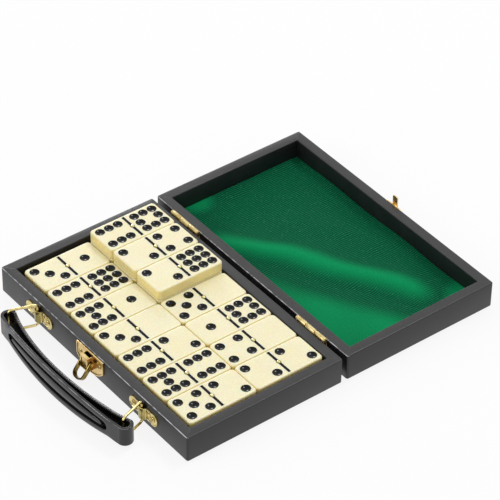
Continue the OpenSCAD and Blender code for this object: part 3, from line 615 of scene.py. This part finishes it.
low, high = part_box("latch_housing")
housing = block("latch_housing_brass", low, high)
object_mode()
slot_half, slot_floor = 2.9 * MM, 11.9 * MM
slot_box = block("slot", (-slot_half, low[1] + 2.2 * MM, slot_floor),
                 (slot_half, high[1] - 0.05 * MM, high[2] + 1 * MM))
cut_away(housing, slot_box)
start_edit(housing)
pick("EDGE", lambda e: len(e.link_faces) == 2 and e.calc_face_angle() > 1.2
     and all(v.co.y < low[1] + 1e-6 for v in e.verts))
bevel(0.4 * MM, 3)
# The front of the box is pressed in a little inside a frame
pick("FACE", lambda f: f.normal.y < -0.99 and f.calc_area() > 2e-5)
press_in(0.8 * MM, 0.3 * MM, (0, 0.35 * MM, 0))
close_edit(housing, latch_brass, 25)
# Inside its slot and on the wall of its pressed-in front the brass is painted dark, a painted shade in these
# recesses
housing.data.materials.append(slot_shade_brass)
housing.data.materials.append(side_brass)
for face in housing.data.polygons:
    y, z = face.center.y, face.center.z
    in_slot = abs(face.center.x) < 3.0 * MM and y > low[1] + 2.1 * MM and 11 * MM < z < high[2] - 0.05 * MM
    frame_wall = (low[1] + 0.05 * MM < y < low[1] + 0.3 * MM and abs(face.center.x) < 2.8 * MM
                  and low[2] + 1 * MM < z < high[2] - 1 * MM)
    if in_slot or frame_wall:
        face.material_index = 1
    # The side faces take a darker brass, a painted shade where less light falls than on the front
    elif abs(face.normal.x) > 0.8:
        face.material_index = 2
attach(housing, "tray")
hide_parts("latch_housing")
give("latch_pin", pale_brass)

# The pull: a flat strip bent into a long U, both ends turning on the pin
pin_low, pin_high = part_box("latch_pin")
hang_y, hang_z = (pin_low[1] + pin_high[1]) / 2, (pin_low[2] + pin_high[2]) / 2
lean = math.radians(38)
bpy.ops.mesh.primitive_plane_add(size=1, location=(0, 0, 0))
pull = bpy.context.object
pull.name = "latch_pull_brass"
strip_wide, strip_thick = 3.2 * MM, 0.9 * MM
pull.scale = (8.5 * MM, 24 * MM - strip_thick, 1)
settle()
start_edit(pull)
pick_all()
bpy.ops.mesh.delete(type="ONLY_FACE")
pick_all()
bevel(3.4 * MM, 8, "VERTICES")
slice_mesh((0, 0, 0), (0, 1, 0), clear_outer=True)
pick_all()
extrude(0, 0, strip_wide)
pick_all()
bpy.ops.transform.translate(value=(0, 0, -strip_wide / 2))
bpy.ops.mesh.normals_make_consistent(inside=False)
object_mode()
thicken(pull, strip_thick, 0, even=True)
eyes = [tube("eye", (s * 3.8 * MM, 0, 0), (s * 4.7 * MM, 0, 0), 1.6 * MM, 24) for s in (-1, 1)]
pull = join("latch_pull_brass", [pull] + eyes)
start_edit(pull)
round_edges(0.18 * MM, least=1.2)
object_mode()
# Its flat side then faces the plate: the U hangs down and leans out
pull.data.transform(Matrix.Translation((0, hang_y, hang_z)) @ Matrix.Rotation(math.pi / 2 - lean, 4, "X"))
close_edit(pull, dark_brass, 30)
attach(pull, "latch")
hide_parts("latch_ring")

low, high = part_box("latch_screws")
head_r = 1.6 * MM
heads = [domed_screw("screw", (x - head_r, low[1], low[2]), (x + head_r, high[1], high[2]), (0, -1, 0), turn)
         for x, turn in ((low[0] + head_r, 0.3), (high[0] - head_r, 0.9))]
screws = join("latch_screw_heads", heads)
close_edit(screws, pale_brass)
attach(screws, "tray")
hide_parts("latch_screws")


# The keeper on the lid: a small plate with a stiff tongue that drops into the slot of the latch's box.
# Both are bent from brass sheet, and two screws hold the plate.
low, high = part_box("keeper_plate")
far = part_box("lid_covering")[1][1]
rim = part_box("lid_covering")[1][2]
keeper = block("keeper_sheet", (low[0], far, low[2]), (high[0], far + 0.8 * MM, rim - 0.5 * MM))
pick("EDGE", lambda e: abs(e.verts[0].co.y - e.verts[1].co.y) > 1e-5)
bevel(1.5 * MM, 5)
round_edges(0.15 * MM)
object_mode()
tongue_half = 2.2 * MM
foot = block("keeper_foot", (-tongue_half, far + 0.4 * MM, rim - 3.2 * MM),
             (tongue_half, high[1] - 0.1 * MM, rim - 0.8 * MM))
round_edges(0.25 * MM)
object_mode()
tongue = block("keeper_tongue", (-tongue_half, high[1] - 0.8 * MM, rim - 3.2 * MM),
               (tongue_half, high[1], high[2]))
pick("EDGE", lambda e: all(v.co.z > high[2] - 1e-5 for v in e.verts)
     and abs(e.verts[0].co.x - e.verts[1].co.x) < 1e-5)
bevel(0.9 * MM, 4)
round_edges(0.15 * MM)
keeper = join("keeper_brass", [keeper, foot, tongue])
close_edit(keeper, latch_brass)
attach(keeper, "lid")
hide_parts("keeper_plate")
low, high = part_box("keeper_screws")
head_r = 1.4 * MM
heads = [domed_screw("screw", (x - head_r, low[1], low[2]), (x + head_r, high[1], high[2]), (0, 1, 0), turn)
         for x, turn in ((low[0] + head_r, 0.1), (high[0] - head_r, 1.2))]
screws = join("keeper_screw_heads", heads)
close_edit(screws, pale_brass)
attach(screws, "lid")
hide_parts("keeper_screws")


# The handle's brackets: straps stamped from brass sheet, round at both ends with a raised edge, and humped in
# the middle over the wire of a ring. Each has two screws.
hump_reflection_brass = plated_brass("brass_painted_dark_reflection", "#B5A76C", "#857A48", 0.26, 5.0)
SHEET, STRAP_HALF, HUMP_R = 0.9 * MM, 4 * MM, 3.2 * MM
for side, bracket_x in (("left", -1), ("right", 1)):
    low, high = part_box(f"bracket_{side}")
    mid_x, mid_z = (low[0] + high[0]) / 2, (low[2] + high[2]) / 2
    lobe_r = (high[2] - low[2]) / 2
    parts = []
    for s in (-1, 1):
        lobe_x = mid_x + s * 9.3 * MM
        lobe = tube("lobe", (lobe_x, front, mid_z), (lobe_x, front - SHEET, mid_z), lobe_r, 40)
        start_edit(lobe)
        pick("FACE", lambda f: abs(f.normal.y) < 0.1 and f.normal.x * -s > 0.80)
        extrude(-s * 3.2 * MM, 0, 0)
        pick("FACE", lambda f: f.normal.y < -0.9)
        press_in(0.55 * MM, 0.25 * MM, (0, 0.25 * MM, 0))
        round_edges(0.15 * MM, least=1.3)
        object_mode()
        parts.append(lobe)
    hump_y = low[1] + HUMP_R
    hump = tube("hump", (mid_x, hump_y, mid_z - STRAP_HALF), (mid_x, hump_y, mid_z + STRAP_HALF),
                HUMP_R - SHEET / 2, 48)
    start_edit(hump)
    pick("FACE", lambda f: abs(f.normal.z) > 0.9)
    bpy.ops.mesh.delete(type="FACE")
    slice_mesh((0, hump_y, 0), (0, 1, 0), clear_outer=True)
    pick("EDGE", lambda e: len(e.link_faces) == 1 and all(abs(v.co.y - hump_y) < 1e-6 for v in e.verts))
    extrude(0, front - 0.2 * MM - hump_y, 0)
    object_mode()
    thicken(hump, SHEET, 0, even=True)
    start_edit(hump)
    round_edges(0.2 * MM, least=1.2)
    object_mode()
    # The strap between the hump and each round end
    for start, end in ((-7 * MM, -2.9 * MM), (2.9 * MM, 7 * MM)):
        bridge = block("bridge", (mid_x + start, front - SHEET, mid_z - STRAP_HALF),
                       (mid_x + end, front, mid_z + STRAP_HALF))
        round_edges(0.2 * MM)
        object_mode()
        parts.append(bridge)
    bracket = join(f"bracket_{side}_brass", parts + [hump])
    close_edit(bracket, pale_brass, 30)
    # The front of the hump is painted a darker olive, a painted reflection of the dark ring and handle before
    # it
    bracket.data.materials.append(hump_reflection_brass)
    for face in bracket.data.polygons:
        on_hump = abs(face.center.x - mid_x) < 2.9 * MM and face.center.y < front - 1.2 * MM
        if on_hump and abs(face.normal.z) < 0.5:
            face.material_index = 1
    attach(bracket, "tray")
    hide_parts(f"bracket_{side}")
    s_low, s_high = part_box(f"bracket_{side}_screws")
    r = 1.7 * MM
    heads = [domed_screw("screw", (x - r, s_low[1], mid_z - r), (x + r, s_high[1], mid_z + r),
                         (0, -1, 0), turn)
             for x, turn in ((s_low[0] + r, 0.5 * bracket_x), (s_high[0] - r, 1.1 + 0.3 * bracket_x))]
    screws = join(f"bracket_{side}_screw_heads", heads)
    close_edit(screws, pale_brass)
    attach(screws, "tray")
    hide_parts(f"bracket_{side}_screws")


# The handle's rings: 1.7 mm brass wire bent into a closed loop with round corners. One long side turns in the
# bracket, the other in the end of the handle.
ring_len, ring_h, wire_r = 18.1 * MM, 15.8 * MM, 0.85 * MM
for side, sign in (("left", -1), ("right", 1)):
    low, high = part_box(f"ring_{side}")
    pivot = (sign * 52.9 * MM, front - 1.55 * MM, (low[2] + high[2]) / 2)
    bpy.ops.mesh.primitive_plane_add(size=1, location=(0, 0, 0))
    ring = bpy.context.object
    ring.scale = (ring_len, ring_h, 1)
    settle()
    start_edit(ring)
    pick_all()
    bpy.ops.mesh.delete(type="ONLY_FACE")
    pick_all()
    bevel(2.2 * MM, 7, "VERTICES")
    object_mode()
    bpy.ops.object.convert(target="CURVE")
    ring.data.bevel_depth = wire_r
    ring.data.bevel_resolution = 5
    bpy.ops.object.convert(target="MESH")
    ring = bpy.context.object
    ring.name = f"ring_{side}_wire"
    # From lying flat, with its length along X, to standing on edge, with its length out from the case
    splay = sign * math.radians(18)
    stand = Matrix.Rotation(splay - math.pi / 2, 4, "Z") @ Matrix.Rotation(math.pi / 2, 4, "X")
    ring.data.transform(Matrix.Translation(pivot) @ stand @ Matrix.Translation((ring_len / 2, 0, 0)))
    close_edit(ring, pale_brass, 60)
    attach(ring, f"ring_{side}")
    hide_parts(f"ring_{side}")


# The handle: moulded in glossy black PVC to look like stitched leather. An outer band turns round at both
# ends to hold the rings, an inner band closes it, and a core joins them in the middle. The outer face has a
# long sunk panel with a raised rib in it, and the inner band is finely ridged.
def moulded_pvc(name, ridges):
    """Glossy black moulded PVC; with ridges, a fine row of them across the length."""
    pvc = empty_material(name)
    place = object_place(pvc)
    # Flow marks from the mould, about 4 mm across
    flow = noise(pvc, place, 4 * MM, 3.0)
    height = flow
    if ridges:
        # One ridge every 1.2 mm
        rows = add_node(pvc, "ShaderNodeTexWave", {"wave_type": "BANDS", "bands_direction": "X",
                                                   "Scale": 0.314 / (1.2 * MM), "Vector": place})
        height = reckon(pvc, "ADD", flow, reckon(pvc, "MULTIPLY", rows.outputs["Fac"], 4.0))
    surface(pvc, {"Base Color": linear("#0B0B0C"), "IOR": 1.54,
                  "Roughness": remap(pvc, flow, 0.3, 0.7, 0.16, 0.30),
                  "Normal": bump(pvc, height, 0.4 if ridges else 0.25, 0.08 * MM)})
    return pvc


black_pvc = moulded_pvc("glossy_black_pvc", False)
ridged_pvc = moulded_pvc("ridged_black_pvc", True)
# Painted highlight: the rounded rims on the outer side of the outer band are painted pale grey, in streaks
# about 5 mm long
pvc_edge_highlight = empty_material("black_pvc_painted_edge_highlight")
highlight_streaks = remap(pvc_edge_highlight, noise(pvc_edge_highlight, object_place(pvc_edge_highlight), 5 * MM, 2.0), 0.35, 0.65)
surface(pvc_edge_highlight, {"IOR": 1.54, "Roughness": 0.15,
                     "Base Color": blend(pvc_edge_highlight, highlight_streaks, "#2E2E30", "#8A8A8D")})
# The floor of the sunk panel is grained and matt, with a grain of 0.5 mm
grained_pvc = empty_material("grained_black_pvc")
pores = add_node(grained_pvc, "ShaderNodeTexVoronoi",
                 {"Scale": 1 / (0.5 * MM), "Vector": object_place(grained_pvc)}).outputs["Distance"]
surface(grained_pvc, {"IOR": 1.5, "Specular IOR Level": 0.08, "Roughness": 0.7,
                      "Base Color": blend(grained_pvc, pores, "#060606", "#101011"),
                      "Normal": bump(grained_pvc, pores, 0.5, 0.1 * MM)})
h_low, h_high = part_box("handle_outer")
handle_x, handle_z = (h_low[0] + h_high[0]) / 2, (h_low[2] + h_high[2]) / 2
half_len, loop_r, loop_u = 64 * MM, 5.1 * MM, 19.464 * MM
bow_half, bow_out, mid_t, band = half_len - loop_r, 5.4 * MM, 5.3 * MM, 2.0 * MM
outer_u = loop_u + loop_r
bow_r = (bow_half ** 2 + bow_out ** 2) / (2 * bow_out)
bow_in = outer_u + bow_out - mid_t - (loop_u - loop_r)
bow_in_r = (bow_half ** 2 + bow_in ** 2) / (2 * bow_in)


# Half length of the raised rib and of the sunk panel, then the height of each in the middle and near its ends
RIB, PANEL = (46 * MM, 5.6 * MM, 2.2 * MM), (50 * MM, 11.0 * MM, 5.6 * MM)


def half_height(x):
    """Half the handle's height at x from its middle."""
    swell = 9.2 - (9.2 - 6.25) * (x / (52 * MM)) ** 2
    return max(swell, 6.5) * MM


def lens_half(x, half, mid, end):
    """Half the height of a long lens with round ends, at x; 0 past its ends."""
    if abs(x) >= half:
        return 0.0
    nose = 3.2 * MM
    over = max((abs(x) - (half - nose)) / nose, 0)
    return (end + (mid - end) * (1 - (x / half) ** 2)) / 2 * math.sqrt(1 - over * over)


def plain_levels(x):
    """Heights of the grid lines over half a plain band, with the depth of each."""
    return [(half_height(x) * i / 6, 0.0) for i in range(7)]


def panel_levels(x):
    """Heights of the grid lines over half the outer band, with depths: rib, groove and frame."""
    high = half_height(x)
    rib, panel = lens_half(x, *RIB), lens_half(x, *PANEL)
    deep = 1.35 * MM * min(panel / (0.5 * MM), 1)
    low = 0.0 if rib > 0 else deep
    foot, brow = min(rib + 0.3 * MM, (rib + panel) / 2), max(panel - 0.3 * MM, (rib + panel) / 2)
    fade = 1 - step(bow_half - 9 * MM, bow_half - 1 * MM, abs(x))
    lines = [(0, low), (0.5 * rib, low + 0.06 * MM), (0.8 * rib, low + 0.2 * MM), (rib, low + 0.4 * MM),
             (foot, deep), ((foot + brow) / 2, deep), (brow, deep), (panel, 0.25 * MM if panel > 0 else 0.0)]
    for share, drop in ((0.15, 0.05), (0.35, 0.0), (0.55, 0.04), (0.75, 0.1), (0.9, 0.2), (1, 0.35)):
        lines.append((panel + (high - panel) * share, drop * MM * fade))
    return lines


def formed_band(name, path, offset, levels, material, rounding):
    """A band that follows a path of (x, u, normal x, normal u), formed from a flat grid."""
    half_rows = len(levels(0)) - 1
    bpy.ops.mesh.primitive_grid_add(x_subdivisions=len(path) - 1, y_subdivisions=2 * half_rows, size=2)
    piece = bpy.context.object
    piece.name = name
    drops, rims = [], set()
    for point in piece.data.vertices:
        x, u, nx, nu = path[round((point.co.x + 1) / 2 * (len(path) - 1))]
        row = round(point.co.y * half_rows)
        z, drop = levels(x)[abs(row)]
        if abs(row) == half_rows:
            rims.add(point.index)
        drops.append(Vector((nx, -nu, 0)) * drop)
        point.co = (handle_x + x, front - u, handle_z + (z if row > 0 else -z))
    count = len(piece.data.vertices)
    thicken(piece, band, offset)
    start_edit(piece)
    pick_all()
    bpy.ops.mesh.normals_make_consistent(inside=False)
    pick("EDGE", lambda e: all(v.index % count in rims for v in e.verts)
         and len(e.link_faces) == 2 and e.calc_face_angle() > 1.25)
    object_mode()
    # The outer face is pressed before the rims are rounded
    for i in range(count):
        piece.data.vertices[i].co -= drops[i]
    bpy.ops.object.mode_set(mode="EDIT")
    bevel(rounding, 4)
    pick_all()
    bpy.ops.mesh.remove_doubles(threshold=0.005 * MM)
    close_edit(piece, material, 40)
    return piece


def end_turn(middle_x, start):
    """The half turn of the band round one end of the handle."""
    turns = [start - math.pi * i / 18 for i in range(19)]
    return [(middle_x + loop_r * math.cos(a), loop_u + loop_r * math.sin(a), math.cos(a), math.sin(a))
            for a in turns]


outer_path = end_turn(-bow_half, -math.pi / 2)
top_u = outer_u + bow_out
for i in range(1, 320):
    x = -bow_half + 2 * bow_half * i / 320
    rise = math.sqrt(bow_r ** 2 - x * x)
    outer_path.append((x, top_u - bow_r + rise, x / bow_r, rise / bow_r))
outer_path += end_turn(bow_half, math.pi / 2)
outer_band = formed_band("handle_outer_band", outer_path, -1, panel_levels, black_pvc, 0.7 * MM)
outer_band.data.materials.append(grained_pvc)
outer_band.data.materials.append(pvc_edge_highlight)
for face in outer_band.data.polygons:
    x, z = face.center.x - handle_x, face.center.z - handle_z
    rib, panel = lens_half(x, *RIB), lens_half(x, *PANEL)
    if rib < abs(z) < panel and face.normal.y < 0.2 and face.center.y < front - loop_u:
        face.material_index = 1
    # The rounded rims facing out take the painted highlight
    on_rim = half_height(x) - abs(z) < 0.5 * MM and 0.35 < abs(face.normal.z) < 0.93
    if on_rim and face.normal.y < -0.1:
        face.material_index = 2
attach(outer_band, "handle")
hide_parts("handle_outer")

inner_path = []
in_top = top_u - mid_t
for i in range(141):
    x = -bow_half + 2 * bow_half * i / 140
    rise = math.sqrt(bow_in_r ** 2 - x * x)
    inner_path.append((x, in_top - bow_in_r + rise, -x / bow_in_r, -rise / bow_in_r))
inner_band = formed_band("handle_inner_band", inner_path, 1, plain_levels, ridged_pvc, 0.45 * MM)
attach(inner_band, "handle")
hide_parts("handle_inner")

# The core between the bands stops a little below their top edges and short of the rings
CORE_HALF = 53.5 * MM
core = block("handle_core_pvc", (-CORE_HALF, -1 * MM, -1 * MM), (CORE_HALF, 1 * MM, 1 * MM))
for cut_x in range(-50, 51, 5):
    slice_mesh((cut_x * MM, 0, 0), (1, 0, 0))
object_mode()
for point in core.data.vertices:
    x = point.co.x
    outside = top_u - bow_r + math.sqrt(bow_r ** 2 - x * x) - band + 0.2 * MM
    inside_u = in_top - bow_in_r + math.sqrt(bow_in_r ** 2 - x * x) + band - 0.2 * MM
    u = outside if point.co.y < 0 else min(inside_u, outside - 0.3 * MM)
    rise = half_height(x) - 3.6 * MM
    point.co = (handle_x + x, front - u, handle_z + (rise if point.co.z > 0 else -rise))
close_edit(core, grained_pvc, 40)
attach(core, "handle")
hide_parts("handle_core")


# The dominoes: cast ivory resin, tumbled until the edges are round and glossy. The pips are drilled as
# shallow hollows and coated with black enamel, the dividing line is milled and painted, and a brass pin
# sits in it.
ivory = empty_material("cast_ivory_resin")
ivory_look = add_node(ivory, "ShaderNodeTexCoord").outputs
# Cloudy depth about 18 mm across, and tiny handling scratches 0.8 mm apart
clouds = remap(ivory, noise(ivory, ivory_look["Object"], 18 * MM, 2.0), 0.35, 0.65)
scratches = noise(ivory, ivory_look["Object"], 0.8 * MM, 2.0)
# The sides are painted a deeper yellow than the top, a painted glow of light that has come through the tile
upward = add_node(ivory, "ShaderNodeSeparateXYZ", {"Vector": ivory_look["Normal"]}).outputs["Z"]
cream = blend(ivory, clouds, "#F2E9C0", "#F4ECC8")
surface(ivory, {"IOR": 1.5, "Subsurface Weight": 0.5, "Subsurface Radius": (1.0, 0.75, 0.35),
                "Subsurface Scale": 2.0 * MM,
                "Base Color": blend(ivory, remap(ivory, upward, 0.2, 0.85), "#F0DF9A", cream),
                "Roughness": remap(ivory, scratches, 0.0, 1.0, 0.20, 0.34)})

enamel = empty_material("black_enamel")
# Brush marks about 0.6 mm across
brush = noise(enamel, object_place(enamel), 0.6 * MM, 1.0)
surface(enamel, {"Base Color": linear("#020202"), "IOR": 1.5, "Specular IOR Level": 0.22,
                 "Roughness": remap(enamel, brush, 0.0, 1.0, 0.03, 0.07)})

pip_places = {
    0: [], 1: [(0, 0)], 2: [(-1, -1), (1, 1)], 3: [(-1, -1), (0, 0), (1, 1)],
    4: [(-1, -1), (1, 1), (-1, 1), (1, -1)], 5: [(-1, -1), (1, 1), (-1, 1), (1, -1), (0, 0)],
    6: [(x, y) for x in (-1, 1) for y in (-1, 0, 1)],
    7: [(x, y) for x in (-1, 1) for y in (-1, 0, 1)] + [(0, 0)],
    8: [(x, y) for x in (-1, 0, 1) for y in (-1, 0, 1) if x or y],
    9: [(x, y) for x in (-1, 0, 1) for y in (-1, 0, 1)],
}
# Pips stand this far apart, and a half's middle pip this far past the middle of that half
PIP_STEP_X, PIP_STEP_Y, PIP_OUT = 6.8 * MM, 6.6 * MM, 0.7 * MM
PIP_R, PIP_DEEP = 3.1 * MM, 0.9 * MM
BALL = (PIP_R ** 2 + PIP_DEEP ** 2) / (2 * PIP_DEEP)
tile_names = ["tile_3_1", "tile_6_9", "tile_7_1", "tile_3_0", "tile_6_2", "tile_7_6", "tile_5_2",
              "tile_6_8", "tile_2_4", "tile_2_9", "tile_5_0", "tile_1_8", "tile_4_0", "tile_2_2"]

# One plain tile, modelled once and copied
low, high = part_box("tile_3_1")
size = [b - a for a, b in zip(low, high)]
plain = block("plain_tile", (-size[0] / 2, -size[1] / 2, 0), (size[0] / 2, size[1] / 2, size[2]))
pick("EDGE", lambda e: abs(e.verts[0].co.z - e.verts[1].co.z) > 1e-4)
bevel(2.6 * MM, 7)
round_edges(1.2 * MM, 5)
pick("FACE", lambda f: abs(f.normal.z) > 0.999)
bpy.ops.mesh.inset(thickness=0.15 * MM)
object_mode()


def pip_ball(radius):
    """A ball round the centre that gives a pip its radius and depth, for a tile with its top at 0."""
    bpy.ops.mesh.primitive_uv_sphere_add(segments=28, ring_count=40, radius=radius,
                                         location=(0, 0, BALL - PIP_DEEP))
    settle()
    return bpy.context.object


# One cutter ball, one painted cup, one painted line and one pin, each modelled once and copied
GAP, LINE_HALF, LINE_WIDE = 0.02 * MM, 10.6 * MM, 0.9 * MM
ball = pip_ball(BALL)
cup = pip_ball(BALL - GAP)
start_edit(cup)
slice_mesh((0, 0, GAP), (0, 0, 1), clear_outer=True)
pick_all()
bpy.ops.mesh.flip_normals()
object_mode()
thicken(cup, 0.05 * MM, -1)
line = block("line", (-LINE_HALF, -LINE_WIDE, -0.49 * MM), (LINE_HALF, LINE_WIDE, -GAP))
pick("FACE", lambda f: f.normal.z > 0.9)
press_in(0.3 * MM, 0.2 * MM, (0, 0, -0.25 * MM))
object_mode()
groove = block("groove", (-LINE_HALF, -LINE_WIDE, -0.5 * MM), (LINE_HALF, LINE_WIDE, 2 * MM))
object_mode()
bpy.ops.mesh.primitive_uv_sphere_add(segments=24, ring_count=14, radius=1)
pin = bpy.context.object
pin.scale = (1.5 * MM, 1.5 * MM, 0.5 * MM)
settle()


def copy_of(piece, place):
    """A copy with its own mesh, moved to a place."""
    twin = piece.copy()
    twin.data = piece.data.copy()
    twin.data.transform(Matrix.Translation(place))
    bpy.context.scene.collection.objects.link(twin)
    return twin


cups, lines, pins = [], [], []
for name in tile_names:
    low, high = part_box(name)
    middle = Vector(((low[0] + high[0]) / 2, (low[1] + high[1]) / 2, low[2]))
    top = middle + Vector((0, 0, size[2]))
    tile = copy_of(plain, middle)
    tile.name = name + "_ivory"
    cutters = [copy_of(groove, top)]
    halves = [int(v) for v in name.split("_")[1:]]
    for half, count in zip((-1, 1), halves):
        for px, py in pip_places[count]:
            spot = top + Vector((px * PIP_STEP_X, half * (size[1] / 4 + PIP_OUT) + py * PIP_STEP_Y, 0))
            cutters.append(copy_of(ball, spot))
            cups.append(copy_of(cup, spot))
    lines.append(copy_of(line, top))
    pins.append(copy_of(pin, top))
    cut_away(tile, join("cutter", cutters))
    close_edit(tile, ivory, 25)
    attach(tile, "tray")
    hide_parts(name)

paint = join("pip_enamel", cups + lines)
close_edit(paint, enamel, 40)
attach(paint, "tray")
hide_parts("tile_pips")
pin_brass = plated_brass("polished_brass_pin", "#F2E8B8", "#DCCB8C", 0.15, 1.5)
brass_pins = join("tile_brass_pins", pins)
close_edit(brass_pins, pin_brass, 60)
# The sloping edge of each pin dome is painted dark olive, a painted shade round the pin
brass_pins.data.materials.append(plated_brass("brass_pin_edge_painted_shade", "#8F8858", "#6E6638", 0.3, 1.5))
for face in brass_pins.data.polygons:
    if face.normal.z < 0.95:
        face.material_index = 1
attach(brass_pins, "tray")
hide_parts("tile_pins")

# The tiles underneath, with their edges rounded the same way
step_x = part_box("tile_6_9")[0][0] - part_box("tile_3_1")[0][0]
for name, count in (("tiles_under_front", 7), ("tiles_under_back", 7), ("tiles_under_raised", 3)):
    low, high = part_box(name)
    stack = [copy_of(plain, (low[0] + size[0] / 2 + i * step_x, (low[1] + high[1]) / 2, low[2]))
             for i in range(count)]
    under = join(name + "_ivory", stack)
    close_edit(under, ivory, 25)
    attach(under, "tray")
    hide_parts(name)
for spare in (plain, ball, cup, line, groove, pin):
    bpy.data.objects.remove(spare)

bpy.context.view_layer.update()
